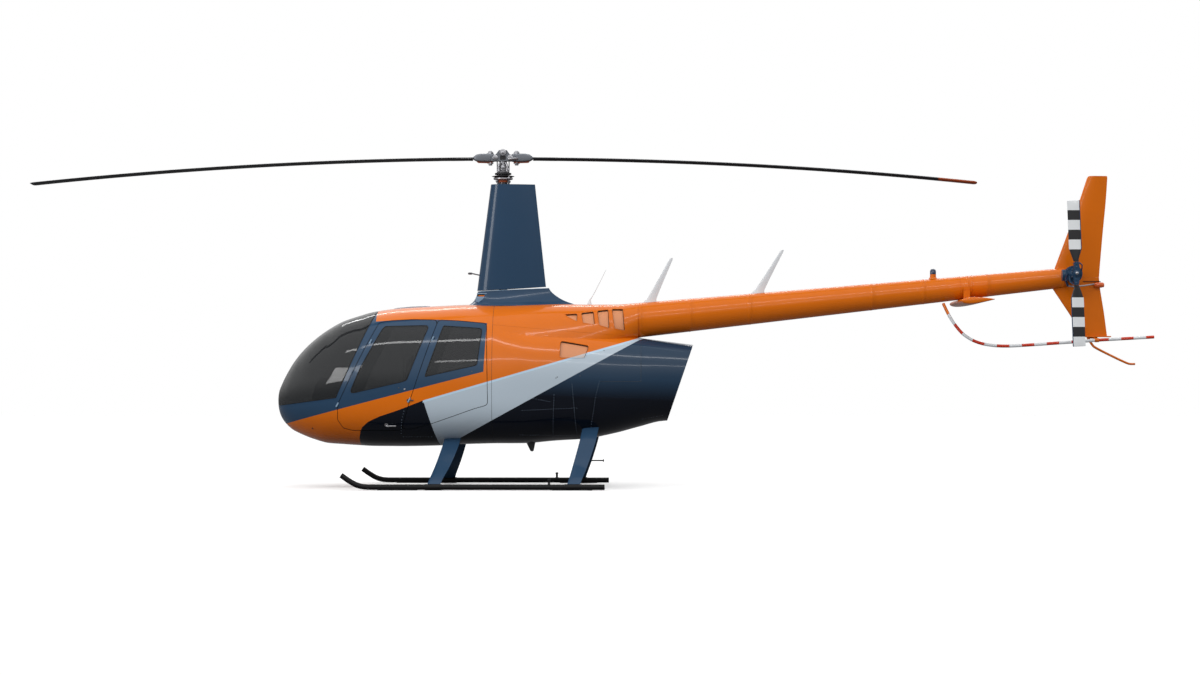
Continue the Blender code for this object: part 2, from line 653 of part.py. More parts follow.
def build_tail():
    cone = tailcone_solid("tailcone")
    cut(cone, tailcone_solid("inside", -0.006, 0.05))
    finish(cone, "tailcone", "orange_paint")

    upper = fin("upper_fin", [(2.16, 5.67, 6.158), (2.27, 5.706, 6.166), (2.911, 5.944, 6.226),
                              (3.19, 6.037, 6.246), (3.21, 6.06, 6.240)], 0.045)
    cut(upper, tailcone_solid("cone", GAP, 0.0003))
    finish(upper, "upper_fin", "orange_paint")
    lower = fin("lower_fin", [(1.557, 5.992, 6.239), (2.047, 5.678, 6.168), (2.1595, 5.68, 6.158)], 0.045)
    cut(lower, tailcone_solid("cone", GAP, 0.0003))
    finish(lower, "lower_fin", "orange_paint")

    rings = []
    for y in (-0.70, -0.69, 0.69, 0.70):
        tip = 0.8 if abs(y) > 0.695 else 1.0
        rings.append([(4.681 + x, y, 1.902 + 0.06 * x + z * tip) for x, z in airfoil(0.333, 0.2, 8)])
    stab = loft("stabilizer", rings)
    cut(stab, tailcone_solid("cone", GAP))
    finish(stab, "horizontal_stabilizer", "orange_paint")

    box_z = TAIL_HUB[2]
    gear = cylinder("gear", (5.87, -0.355, box_z), (5.87, -0.03, box_z), 0.05, sides=24)
    join(gear, cylinder("case", (5.87, -0.20, box_z), (5.87, -0.03, box_z), 0.075, sides=24))
    cut(gear, fin("skin", [(1.9, 5.6, 6.3), (2.7, 5.6, 6.3)], 0.047))
    cut(gear, tailcone_solid("cone", GAP, 0.0003))
    finish(gear, "tail_gearbox", "blue_paint")

    path = [(4.549, -0.05, 1.893), (4.621, -0.10, 1.739), (4.733, -0.16, 1.585), (4.855, -0.20, 1.503),
            (5.009, -0.23, 1.462), (5.213, -0.25, 1.452), (5.622, -0.25, 1.477), (6.133, -0.25, 1.513),
            (6.684, -0.25, 1.544)]
    guard = tube_path("guard", path, 0.016, sides=10)
    join(guard, tube_path("stay", [(6.10, -0.25, 1.511), (6.10, 0.0, 1.5405)], 0.012, sides=10))
    cut(guard, tailcone_solid("cone", GAP))
    cut(guard, box("top", (5.9, -0.2, 1.5567), (6.3, 0.2, 1.7)))
    finish(guard, "tail_guard", "white_paint")
    skid = tube_path("tail_skid", [(6.03, 0, 1.53), (6.126, 0, 1.434), (6.444, 0, 1.279), (6.527, 0, 1.268)],
                     0.013, sides=10)
    cut(skid, box("top", (5.9, -0.2, 1.5567), (6.3, 0.2, 1.7)))
    cut(skid, tube_path("stay", [(6.10, -0.25, 1.511), (6.10, 0.0, 1.5405), (6.10, 0.1, 1.552)], 0.0124, sides=10))
    finish(skid, "tail_skid", "orange_paint")

    lamp = cylinder("beacon", (4.448, 0, 2.06), (4.448, 0, 2.23), 0.035, 0.028, 20)
    cut(lamp, tailcone_solid("cone", GAP))
    finish(lamp, "beacon", "lamp")
    light = cylinder("light", (6.1725, 0, 2.09), (6.214, 0, 2.09), 0.03, sides=16)
    finish(light, "tail_light", "lamp")


def build_antennas():
    mast = tube_path("whip", [(0.901, 0, 1.80), (0.901, 0, 1.93), (1.067, 0, 2.243)], 0.009, 0.005, 10)
    cut(mast, roof_solid("roof", -GAP))
    finish(mast, "antenna_whip", "white_paint")
    for word, low, high in (("front", (1.544, 1.932), (1.751, 2.367)), ("rear", (2.661, 2.024), (2.899, 2.449))):
        slope = (high[0] - low[0]) / (high[1] - low[1])
        rings = []
        for z, chord in ((low[1] - 0.10, 0.10), (low[1] + 0.05, 0.085), (high[1], 0.035)):
            x = low[0] + slope * (z - low[1]) - 0.04
            rings.append([(x + a, b, z) for a, b in airfoil(chord, 0.16, 5)])
        blade = loft("antenna", rings)
        cut(blade, tailcone_solid("cone", GAP))
        finish(blade, "antenna_blade_" + word, "white_paint")
    rings = []
    for z, lead, trail in ((0.50, 0.24, 0.34), (0.368, 0.28, 0.32)):
        rings.append([(lead + a, b, z) for a, b in airfoil(trail - lead, 0.2, 5)])
    blade = loft("belly", rings)
    cut(blade, cowl_solid("cowl", -GAP))
    finish(blade, "belly_antenna", "white_paint")


# Landing gear
def skid_tube(name, grow=0.0):
    z = SKID_RADIUS + 0.004
    path = [(-1.565, -SKID_Y, 0.150), (-1.45, -SKID_Y, 0.070), (-1.36, -SKID_Y, z + 0.008),
            (-1.28, -SKID_Y, z), (1.00, -SKID_Y, z), (1.07, -SKID_Y, z)]
    return tube_path(name, path, SKID_RADIUS + grow, SKID_RADIUS + grow, 16)


def build_gear():
    skid = skid_tube("skid")
    for x_low, x_high in ((-1.20, -0.80), (0.55, 0.95)):
        join(skid, box("shoe", (x_low, -SKID_Y - 0.022, 0.0), (x_high, -SKID_Y + 0.022, 0.016)))
    twin = mirrored(skid, "skid_right")
    finish(skid, "skid_left", "black_paint")
    finish(twin, "skid_right", "black_paint")

    for word, top, bottom in (("front", (-0.494, 0.50), (-0.640, 0.046)), ("rear", (0.90, 0.545), (0.760, 0.046))):
        rings = []
        for y, x, z, chord in ((-0.25, top[0] + 0.03, top[1] + 0.13, 0.17), (-0.55, top[0], top[1] - 0.03, 0.165),
                               (-SKID_Y, bottom[0], bottom[1], 0.13)):
            rings.append([(x - chord / 2 + a, y + 0.6 * b, z + 0.8 * b) for a, b in airfoil(chord, 0.30, 7)])
        leg = loft("leg", rings)
        cut(leg, skid_tube("tube", GAP))
        cut(leg, cowl_solid("cowl", -GAP) if word == "rear" else cabin_solid("cabin", -GAP))
        keep(leg, box("limit", (-2, -1.2, 0.035), (2, -0.1, 0.9)))
        twin = mirrored(leg, "twin")
        finish(leg, "leg_" + word + "_left", "blue_paint")
        finish(twin, "leg_" + word + "_right", "blue_paint")


clear_scene()
helicopter = bpy.data.collections.new("helicopter")
bpy.context.scene.collection.children.link(helicopter)
build_cabin()
build_doors()
build_interior()
build_cowls()
build_mast()
build_main_rotor()
build_tail_rotor()
build_tail()
build_antennas()
build_gear()
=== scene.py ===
"""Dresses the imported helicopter: smooth skins, livery, glass, rotor heads, cabin fittings and a studio."""
import math

import bmesh
import bpy
import numpy as np
from mathutils import Matrix, Vector


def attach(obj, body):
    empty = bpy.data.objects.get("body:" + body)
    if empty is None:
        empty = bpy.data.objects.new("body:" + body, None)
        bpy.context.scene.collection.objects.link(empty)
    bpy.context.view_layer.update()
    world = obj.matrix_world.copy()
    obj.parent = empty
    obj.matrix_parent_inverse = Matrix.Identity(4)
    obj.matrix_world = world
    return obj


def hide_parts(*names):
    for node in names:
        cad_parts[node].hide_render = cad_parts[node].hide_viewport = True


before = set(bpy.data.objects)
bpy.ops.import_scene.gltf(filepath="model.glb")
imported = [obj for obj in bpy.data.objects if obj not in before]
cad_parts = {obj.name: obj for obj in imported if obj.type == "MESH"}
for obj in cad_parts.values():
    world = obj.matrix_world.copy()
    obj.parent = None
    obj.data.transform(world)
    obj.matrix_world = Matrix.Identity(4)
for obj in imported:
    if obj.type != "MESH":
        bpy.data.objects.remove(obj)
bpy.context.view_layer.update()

# Outlines are measured from the mast axis and shifted by MAST_X when a mesh is made
MAST_X = -0.8925
SEAM_X = -0.08
NOSE_X = -2.3315
HUB_Z = 3.408
ROTOR_RADIUS = 4.90
BLADE_CHORD = 0.254
BLADE_DROOP = 0.0106
TAIL_HUB = (5.87, -0.42, 2.19)
SKID_Y = 1.10
SKID_RADIUS = 0.0275
SKIN = 0.022
PANE = 0.005

# Fuselage stations: X, half width, bottom, widest height, top, upper and lower roundness
CABIN = [
    (NOSE_X, 0.001, 0.889, 0.890, 0.891, 2.0, 2.0),
    (-2.322, 0.090, 0.795, 0.890, 0.985, 2.0, 2.0),
    (-2.297, 0.165, 0.719, 0.890, 1.051, 2.0, 2.0),
    (-2.235, 0.270, 0.636, 0.890, 1.176, 2.0, 2.1),
    (-2.172, 0.340, 0.584, 0.890, 1.280, 2.1, 2.2),
    (-2.110, 0.395, 0.553, 0.893, 1.363, 2.1, 2.3),
    (-1.954, 0.505, 0.491, 0.900, 1.518, 2.2, 2.4),
    (-1.798, 0.580, 0.450, 0.910, 1.632, 2.2, 2.5),
    (-1.642, 0.633, 0.439, 0.920, 1.715, 2.3, 2.6),
    (-1.486, 0.672, 0.429, 0.930, 1.767, 2.3, 2.7),
    (-1.331, 0.700, 0.421, 0.940, 1.809, 2.4, 2.8),
    (-1.019, 0.730, 0.419, 0.950, 1.850, 2.4, 2.8),
    (-0.707, 0.735, 0.424, 0.950, 1.866, 2.4, 2.8),
    (-0.395, 0.722, 0.440, 0.950, 1.881, 2.4, 2.8),
    (SEAM_X, 0.690, 0.449, 0.950, 1.887, 2.4, 2.8),
]
COWL = [
    (SEAM_X, 0.690, 0.449, 0.950, 1.887, 2.4, 2.8),
    (0.080, 0.673, 0.449, 0.952, 1.770, 2.8, 2.8),
    (0.228, 0.650, 0.450, 0.955, 1.700, 3.1, 2.8),
    (0.540, 0.592, 0.476, 0.970, 1.650, 3.1, 2.7),
    (0.850, 0.523, 0.496, 0.985, 1.615, 3.0, 2.6),
    (1.160, 0.449, 0.554, 1.010, 1.578, 2.8, 2.5),
    (1.400, 0.388, 0.618, 1.040, 1.541, 2.7, 2.4),
    (1.650, 0.325, 0.679, 1.070, 1.508, 2.6, 2.3),
    (2.050, 0.235, 0.700, 1.090, 1.456, 2.4, 2.2),
]
ROOF = [
    (SEAM_X, 0.690, 0.449, 0.950, 1.887, 2.4, 2.8),
    (0.228, 0.580, 0.700, 1.110, 1.891, 2.4, 2.6),
    (0.540, 0.480, 0.920, 1.270, 1.891, 2.3, 2.4),
    (0.850, 0.378, 1.150, 1.430, 1.885, 2.2, 2.2),
    (1.160, 0.275, 1.360, 1.590, 1.885, 2.1, 2.1),
    (1.400, 0.190, 1.525, 1.715, 1.901, 2.0, 2.0),
]
GRILLES = [
    [(0.640, 1.780), (0.782, 1.787), (0.782, 1.698), (0.685, 1.749)],
    [(0.813, 1.795), (0.948, 1.810), (0.963, 1.667), (0.836, 1.689)],
    [(0.978, 1.817), (1.098, 1.832), (1.113, 1.629), (1.001, 1.667)],
    [(1.126, 1.837), (1.249, 1.837), (1.271, 1.605), (1.159, 1.629)],
]
INTAKE = [(0.610, 1.507), (0.909, 1.455), (0.864, 1.328), (0.602, 1.328)]
RIDGE = [(-0.30, 1.690), (0.00, 1.660), (1.40, 1.545), (2.40, 1.545)]

FRONT_DOOR = [(-1.243, 1.690), (-1.110, 1.712), (-0.900, 1.722), (-0.634, 1.718),
              (-0.760, 1.340), (-0.905, 0.900), (-1.000, 0.590), (-1.500, 0.590),
              (-1.600, 0.615), (-1.655, 0.700), (-1.648, 0.860), (-1.445, 1.290)]
REAR_DOOR = [(-0.634, 1.718), (-0.434, 1.709), (-0.140, 1.682), (-0.127, 1.200),
             (-0.120, 0.850), (-0.248, 0.815), (-0.500, 0.726), (-0.699, 0.657),
             (-0.888, 0.606), (-0.995, 0.606), (-0.905, 0.900), (-0.760, 1.340)]
FRONT_WINDOW = [(-1.177, 1.654), (-0.720, 1.664), (-0.938, 1.100), (-1.000, 1.079),
                (-1.535, 0.959), (-1.416, 1.235), (-1.208, 1.623)]
REAR_WINDOW = [(-0.574, 1.659), (-0.180, 1.632), (-0.226, 1.266), (-0.241, 1.250),
               (-0.749, 1.136), (-0.755, 1.151), (-0.584, 1.649)]
WINDSHIELD = [(-2.40, 0.845), (-2.28, 0.845), (-1.672, 0.925), (-1.285, 1.800),
              (-1.26, 2.05), (-2.40, 2.05)]


# Material nodes
class Shader:
    """Short calls that add nodes to one material."""

    def __init__(self, name):
        self.material = bpy.data.materials.new(name)
        self.material.use_nodes = True
        self.tree = self.material.node_tree
        self.bsdf = self.tree.nodes["Principled BSDF"]
        self.coords = None

    def node(self, kind, **settings):
        made = self.tree.nodes.new(kind)
        for key, value in settings.items():
            setattr(made, key, value)
        return made

    def link(self, source, target):
        self.tree.links.new(source, target)

    def put(self, socket, value):
        if isinstance(value, bpy.types.NodeSocket):
            self.link(value, socket)
        else:
            socket.default_value = value

    def object_coords(self):
        if self.coords is None:
            self.coords = self.node("ShaderNodeTexCoord").outputs["Object"]
        return self.coords

    def axes(self):
        split = self.node("ShaderNodeSeparateXYZ")
        self.link(self.object_coords(), split.inputs[0])
        return split.outputs

    def math(self, operation, a, b=0.0, c=0.0, clamp=False):
        made = self.node("ShaderNodeMath", operation=operation, use_clamp=clamp)
        for socket, value in zip(made.inputs, (a, b, c)):
            self.put(socket, value)
        return made.outputs[0]

    def mix(self, share, a, b):
        made = self.node("ShaderNodeMix", data_type="RGBA")
        self.put(made.inputs[0], share)
        self.put(made.inputs[6], a)
        self.put(made.inputs[7], b)
        return made.outputs[2]

    def noise(self, scale, detail=3.0, rough=0.5, stretch=None):
        made = self.node("ShaderNodeTexNoise")
        if stretch:
            squeeze = self.node("ShaderNodeMapping")
            squeeze.inputs["Scale"].default_value = stretch
            self.link(self.object_coords(), squeeze.inputs[0])
            self.link(squeeze.outputs[0], made.inputs["Vector"])
        else:
            self.link(self.object_coords(), made.inputs["Vector"])
        made.inputs["Scale"].default_value = scale
        made.inputs["Detail"].default_value = detail
        made.inputs["Roughness"].default_value = rough
        return made.outputs["Fac"]

    def ramp(self, value, low, high):
        """Value from 0 to 1 sent to low and high."""
        made = self.node("ShaderNodeMapRange")
        self.put(made.inputs[0], value)
        made.inputs["To Min"].default_value = low
        made.inputs["To Max"].default_value = high
        return made.outputs[0]

    def bump(self, height, strength, distance=0.001):
        made = self.node("ShaderNodeBump")
        made.inputs["Strength"].default_value = strength
        made.inputs["Distance"].default_value = distance
        self.link(height, made.inputs["Height"])
        self.link(made.outputs[0], self.bsdf.inputs["Normal"])

    def set(self, **sockets):
        for key, value in sockets.items():
            self.put(self.bsdf.inputs[key.replace("_", " ")], value)


def srgb(r, g, b):
    """Linear colour with alpha from 0 to 255 screen values."""
    linear = [(v / 255 / 12.92) if v <= 10 else ((v / 255 + 0.055) / 1.055) ** 2.4 for v in (r, g, b)]
    return (*linear, 1.0)


ORANGE = srgb(212, 106, 10)
BLUE = srgb(38, 64, 90)
SILVER = srgb(176, 189, 200)
PALE_BLUE = srgb(180, 206, 224)
NAVY = srgb(34, 56, 78)
# Near-black navy: painted shade for the lower body.
NAVY_PAINTED_SHADE = srgb(5, 11, 22)


def gloss(shader, rough=0.20, coat=0.2):
    """Sprayed enamel: slight waviness, fine dust and a clear coat."""
    shader.set(Roughness=shader.ramp(shader.noise(6.0, 4), rough - 0.04, rough + 0.08),
               Coat_Weight=coat, Coat_Roughness=0.05, Specular_IOR_Level=0.15)
    shader.bump(shader.noise(700.0, 2), 0.04, 0.0005)


def tinted(shader, colour, spread=0.06, scale=2.5):
    """The colour with soft large-scale variation."""
    dark = tuple(c * (1 - spread) for c in colour[:3]) + (1.0,)
    light = tuple(min(c * (1 + spread), 1.0) for c in colour[:3]) + (1.0,)
    return shader.mix(shader.noise(scale, 5, 0.6), dark, light)


def paint(name, colour, rough=0.20, coat=0.2, spread=0.06):
    shader = Shader(name)
    shader.set(Base_Color=tinted(shader, colour, spread))
    gloss(shader, rough, coat)
    return shader.material


def curve_of_x(shader, x, points, low, high):
    """A height that follows points along X, as a node curve over low to high."""
    share = shader.math("DIVIDE", shader.math("SUBTRACT", x, low), high - low, clamp=True)
    made = shader.node("ShaderNodeFloatCurve")
    curve = made.mapping.curves[0]
    z_low, z_high = -1.0, 3.0
    spots = [((px - low) / (high - low), (pz - z_low) / (z_high - z_low)) for px, pz in points]
    curve.points[0].location = spots[0]
    curve.points[-1].location = spots[-1]
    for spot in spots[1:-1]:
        curve.points.new(*spot)
    for point in curve.points:
        point.handle_type = "VECTOR"
    made.mapping.update()
    shader.link(share, made.inputs["Value"])
    return shader.math("MULTIPLY_ADD", made.outputs[0], z_high - z_low, z_low)


def over(shader, value, limit, soft=0.002):
    """1 where value is above limit, with a narrow soft edge."""
    gap = shader.math("SUBTRACT", value, limit)
    return shader.math("MULTIPLY_ADD", gap, 1 / soft, 0.5, clamp=True)


def livery(name="livery", pierced=False):
    """Orange body, blue door frames, navy lower body with painted shade darkening it towards the bottom, and silver
    wedge, laid out in side view.
    """
    shader = Shader(name)
    x_row, _, z = shader.axes()
    x = shader.math("ADD", x_row, -MAST_X)
    low, high = -2.6, 2.6

    edge = curve_of_x(shader, x, [(low, -0.9), (-1.47, -0.9), (-1.453, 0.467), (-1.414, 0.613), (-1.335, 0.681),
                                  (-1.218, 0.734), (-1.024, 0.798), (-0.771, 0.897), (1.415, 1.537),
                                  (high, 1.884)], low, high)
    navy = over(shader, edge, z)
    wedge_low = shader.math("MULTIPLY_ADD", x, 0.5493, 0.504 + 0.426 * 0.5493)
    wedge_left = shader.math("MULTIPLY_ADD", shader.math("SUBTRACT", 0.897, z), 0.318, -0.771)
    silver = shader.math("MULTIPLY", over(shader, z, wedge_low), over(shader, x, wedge_left))
    pale = over(shader, z, shader.math("SUBTRACT", edge, 0.022))
    # Painted shade: below a line that falls slowly aft, the navy turns near black, as the lower body looks in shade.
    belly = over(shader, shader.math("MULTIPLY_ADD", x, -0.04, 1.06), z, 0.22)
    lower = shader.mix(silver, shader.mix(belly, NAVY, NAVY_PAINTED_SHADE), SILVER)
    lower = shader.mix(shader.math("MULTIPLY", pale, over(shader, x, -0.775)), lower, PALE_BLUE)

    belt = shader.math("MULTIPLY_ADD", x, 0.2586, 0.672 + 2.159 * 0.2586)
    arc = curve_of_x(shader, x, [(low, 2.5), (-1.292, 2.5), (-1.287, 1.702), (-1.1, 1.714), (-0.9, 1.721),
                                 (-0.634, 1.7195), (-0.434, 1.711), (-0.14, 1.684), (high, 1.684)], low, high)
    aft = shader.math("MULTIPLY_ADD", z, 0.0526, -0.163 - 1.188 * 0.0526)
    frame_blue = shader.math("MULTIPLY", over(shader, z, belt), over(shader, arc, z))
    frame_blue = shader.math("MULTIPLY", frame_blue, over(shader, aft, x))

    body = tinted(shader, ORANGE, 0.05)
    body = shader.mix(navy, body, lower)
    body = shader.mix(frame_blue, body, BLUE)
    if pierced:
        holes = shader.node("ShaderNodeTexVoronoi")
        holes.inputs["Scale"].default_value = 170.0
        holes.inputs["Randomness"].default_value = 0.15
        shader.link(shader.object_coords(), holes.inputs["Vector"])
        hole_shade = over(shader, 0.42, holes.outputs["Distance"], 0.1)
        # Painted light: the whole screen is mixed towards pale peach for the lit inside seen through the mesh.
        body = shader.mix(0.35, body, srgb(238, 196, 158))
        # Painted shade: dark dots stand for the shaded holes of the mesh.
        body = shader.mix(shader.math("MULTIPLY", hole_shade, 0.45), body, srgb(96, 44, 14))
        shader.set(Base_Color=body, Roughness=0.5)
        shader.bump(holes.outputs["Distance"], 0.5, 0.002)
        return shader.material
    shader.set(Base_Color=body)
    gloss(shader, 0.2, 0.3)
    return shader.material


def glass():
    shader = Shader("tinted_glass")
    shader.set(Base_Color=srgb(40, 42, 44), Roughness=shader.ramp(shader.noise(3.0, 3), 0.015, 0.05),
               IOR=1.5, Alpha=0.72, Specular_IOR_Level=0.38)
    return shader.material


def metal(name, colour, rough, brushed=(1, 1, 12)):
    shader = Shader(name)
    streak = shader.noise(60.0, 3, 0.6, brushed)
    shader.set(Base_Color=tinted(shader, colour, 0.10, 8.0), Metallic=1.0,
               Roughness=shader.ramp(streak, rough - 0.08, rough + 0.12))
    shader.bump(streak, 0.08, 0.0004)
    return shader.material


def satin(name, colour, rough=0.45, grain=220.0, strength=0.15, shine=0.3):
    shader = Shader(name)
    speck = shader.noise(grain, 3, 0.6)
    shader.set(Base_Color=tinted(shader, colour, 0.12, 5.0),
               Roughness=shader.ramp(speck, rough - 0.06, rough + 0.12), Specular_IOR_Level=shine)
    shader.bump(speck, strength, 0.0004)
    return shader.material


def leather():
    shader = Shader("seat_leather")
    cells = shader.node("ShaderNodeTexVoronoi", feature="DISTANCE_TO_EDGE")
    shader.link(shader.object_coords(), cells.inputs["Vector"])
    cells.inputs["Scale"].default_value = 260.0
    grain = shader.math("MULTIPLY", cells.outputs["Distance"], 3.0, clamp=True)
    shader.set(Base_Color=tinted(shader, srgb(92, 76, 62), 0.18, 7.0), Roughness=shader.ramp(grain, 0.62, 0.45))
    shader.bump(grain, 0.10, 0.0005)
    return shader.material


def banded():
    """Tail rotor blade: white and black bands from the tip inwards, dark root."""
    shader = Shader("tail_blade_bands")
    _, _, z = shader.axes()
    reach = shader.math("ABSOLUTE", shader.math("SUBTRACT", z, TAIL_HUB[2]))
    inward = shader.math("SUBTRACT", 0.745, reach)
    dark = 0.0
    for start in (0.1, 0.3):
        band = shader.math("MULTIPLY", over(shader, inward, start), over(shader, start + 0.1, inward))
        dark = shader.math("ADD", dark, band, clamp=True)
    dark = shader.math("ADD", dark, over(shader, inward, 0.5), clamp=True)
    white = tinted(shader, srgb(226, 229, 231), 0.04)
    shader.set(Base_Color=shader.mix(dark, white, srgb(48, 48, 50)))
    gloss(shader, 0.32, 0.3)
    return shader.material


def tipped_blade():
    """Dark main blade with a worn brown-orange tip on the rear blade."""
    shader = Shader("blade_tipped")
    x_row, _, _ = shader.axes()
    tip = over(shader, shader.math("ADD", x_row, -MAST_X), 4.50, 0.02)
    worn = shader.noise(14.0, 5, 0.7, (0.4, 3, 3))
    shader.set(Base_Color=shader.mix(shader.math("MULTIPLY", tip, shader.ramp(worn, 0.4, 1.2), clamp=True),
                                     tinted(shader, srgb(24, 25, 28), 0.2, 6.0), srgb(150, 66, 26)),
               Roughness=shader.ramp(worn, 0.42, 0.62), Specular_IOR_Level=0.1)
    return shader.material


MAT = {
    "blade_tipped": tipped_blade(),
    "livery": livery(),
    "orange": paint("orange_enamel", ORANGE),
    "blue": paint("blue_enamel", BLUE),
    "navy": paint("navy_enamel", NAVY),
    "white": paint("white_enamel", srgb(214, 217, 220), 0.3, 0.2),
    "black": satin("black_satin", srgb(36, 36, 38)),
    "skid": satin("skid_black", srgb(18, 18, 19), 0.45, 120.0, 0.1, 0.2),
    "blade": satin("blade_dark", srgb(24, 25, 28), 0.5, 160.0, 0.05, 0.1),
    "cloth": satin("headliner_cloth", srgb(52, 51, 50), 0.95, 700.0, 0.6, 0.05),
    "rubber": satin("seal_rubber", srgb(20, 20, 21), 0.65, 300.0),
    "trim": satin("trim_dark", srgb(48, 47, 46), 0.6, 260.0, 0.3),
    "glass": glass(),
    "silver": metal("silver_grey", (0.17, 0.18, 0.20), 0.45),
    "steel": metal("steel_bright", (0.36, 0.36, 0.38), 0.34),
    "dark_steel": metal("steel_dark", (0.09, 0.09, 0.10), 0.42),
    "leather": leather(),
    "lamp": paint("lamp_orange", srgb(214, 92, 26), 0.15, 1.0),
    "red": paint("red_enamel", srgb(196, 52, 24), 0.3, 0.5),
    "bands": banded(),
    "screen": livery("pierced_screen", True),
    "rivet_pale": satin("rivet_pale", srgb(120, 136, 152), 0.35),
    "pearl": paint("pale_blue_enamel", srgb(120, 146, 170), 0.22),
    "brown": satin("blade_tip_brown", srgb(150, 66, 26), 0.5),
    "grey": satin("antenna_grey", srgb(92, 93, 95), 0.4),
    "webbing": satin("belt_webbing", srgb(30, 30, 32), 0.8, 1500.0, 0.5, 0.1),
    "carpet": satin("carpet", srgb(40, 40, 42), 0.95, 900.0, 0.8),
    "lens": paint("lens_blue", srgb(20, 40, 72), 0.08, 0.8),
    "dial": satin("dial_face", srgb(16, 16, 18), 0.3),
}


# Meshes
def slopes(u, v):
    """Monotone cubic slopes through table columns."""
    step = np.diff(u)[:, None]
    rise = np.diff(v, axis=0) / step
    out = np.zeros_like(v)
    w1 = 2 * step[1:] + step[:-1]
    w2 = step[1:] + 2 * step[:-1]
    same = rise[:-1] * rise[1:] > 0
    safe = np.where(same, rise[:-1] * rise[1:], 1.0)
    out[1:-1] = np.where(same, (w1 + w2) * safe / (w1 * rise[1:] + w2 * rise[:-1] + 1e-30), 0.0)
    out[0], out[-1] = rise[0], rise[-1]
    return out


class Hull:
    """Rounded body through stations: superellipse halves above and below the widest height."""

    def __init__(self, rows, nose=None):
        table = np.array(rows, float)
        self.nose = nose
        self.start, self.end = table[0, 0], table[-1, 0]
        self.u = self.measure(table[:, 0])
        self.v = table[:, 1:]
        self.m = slopes(self.u, self.v)

    def measure(self, x):
        return np.asarray(x, float) if self.nose is None else np.sqrt(np.maximum(np.asarray(x) - self.nose, 0))

    def at(self, x):
        u = np.clip(self.measure(np.asarray(x, float)), self.u[0], self.u[-1])
        i = np.clip(np.searchsorted(self.u, u, side="right") - 1, 0, len(self.u) - 2)
        h = self.u[i + 1] - self.u[i]
        t = ((u - self.u[i]) / h)[..., None]
        h = h[..., None]
        return ((1 + 2 * t) * (1 - t) ** 2 * self.v[i] + t * (1 - t) ** 2 * h * self.m[i]
                + t * t * (3 - 2 * t) * self.v[i + 1] + t * t * (t - 1) * h * self.m[i + 1])

    def field(self, p):
        """Below 0 inside and above 0 outside."""
        half, low, mid, high, upper, lower = np.moveaxis(self.at(p[:, 0]), -1, 0)
        up = p[:, 2] > mid
        reach = np.where(up, high - mid, mid - low)
        power = np.where(up, upper, lower)
        f = (np.abs(p[:, 1]) / half) ** power + (np.abs(p[:, 2] - mid) / reach) ** power
        return f ** (1 / power) - 1

    def normal(self, p, eps=2e-4):
        grad = np.zeros_like(p)
        for k in range(3):
            step = np.zeros(3)
            step[k] = eps
            grad[:, k] = self.field(p + step) - self.field(p - step)
        return grad / (np.linalg.norm(grad, axis=1)[:, None] + 1e-12)

    def side_y(self, x, z):
        half, low, mid, high, upper, lower = np.moveaxis(self.at(np.asarray(x, float)), -1, 0)
        z = np.asarray(z, float)
        up = z > mid
        reach = np.where(up, high - mid, mid - low)
        power = np.where(up, upper, lower)
        share = np.clip(np.abs(z - mid) / reach, 0, 0.99999)
        return half * (1 - share ** power) ** (1 / power)

    def rings(self, xs, inset=0.0, count=128):
        angle = 2 * np.pi * (np.arange(count) + 0.5) / count
        c, s = np.cos(angle), np.sin(angle)
        made = []
        for x, (half, low, mid, high, upper, lower) in zip(xs, self.at(np.array(xs))):
            power = np.where(s > 0, upper, lower)
            reach = np.where(s > 0, high - mid, mid - low)
            y = max(half - inset, 0.002) * np.sign(c) * np.abs(c) ** (2 / power)
            z = mid + np.maximum(reach - inset, 0.002) * np.sign(s) * np.abs(s) ** (2 / power)
            made.append(np.stack([np.full(count, x), y, z], 1))
        return made


def grid_mesh(name, rings):
    """Closed mesh through rings of equal length."""
    rings = [np.asarray(r, float) for r in rings]
    count = len(rings[0])
    verts = np.concatenate(rings)
    faces = []
    for level in range(len(rings) - 1):
        a = level * count
        for i in range(count):
            j = (i + 1) % count
            faces.append((a + i, a + j, a + count + j, a + count + i))
    top = (len(rings) - 1) * count
    faces.append(tuple(range(count)))
    faces.append(tuple(range(top, top + count)))
    return raw(name, verts, faces)


def raw(name, verts, faces):
    """An object in the mast frame, faces pointing out."""
    mesh = bpy.data.meshes.new(name)
    mesh.from_pydata([tuple(v) for v in verts], [], faces)
    bm = bmesh.new()
    bm.from_mesh(mesh)
    bmesh.ops.recalc_face_normals(bm, faces=bm.faces)
    bm.to_mesh(mesh)
    bm.free()
    obj = bpy.data.objects.new(name, mesh)
    bpy.context.scene.collection.objects.link(obj)
    return obj


def prism(outline, y_low, y_high):
    return grid_mesh("cutter", [[(x, y, z) for x, z in outline] for y in (y_low, y_high)])


def boolean(obj, other, operation, remove=True):
    mod = obj.modifiers.new("cut", "BOOLEAN")
    mod.operation = operation
    mod.solver = "MANIFOLD"
    mod.object = other
    graph = bpy.context.evaluated_depsgraph_get()
    mesh = bpy.data.meshes.new_from_object(obj.evaluated_get(graph))
    if not len(mesh.polygons):
        mod.solver = "EXACT"
        graph = bpy.context.evaluated_depsgraph_get()
        mesh = bpy.data.meshes.new_from_object(obj.evaluated_get(graph))
    obj.modifiers.clear()
    obj.data = mesh
    if remove:
        bpy.data.objects.remove(other, do_unlink=True)
    return obj


def copy_of(obj):
    twin = obj.copy()
    twin.data = obj.data.copy()
    bpy.context.scene.collection.objects.link(twin)
    return twin


def mirrored(obj):
    twin = copy_of(obj)
    twin.data.transform(Matrix.Diagonal((1, -1, 1, 1)))
    twin.data.flip_normals()
    return twin


def both_sides(obj):
    """Joins the piece with its mirror image."""
    twin = mirrored(obj)
    bm = bmesh.new()
    bm.from_mesh(obj.data)
    bm.from_mesh(twin.data)
    bm.to_mesh(obj.data)
    bm.free()
    bpy.data.objects.remove(twin, do_unlink=True)
    return obj


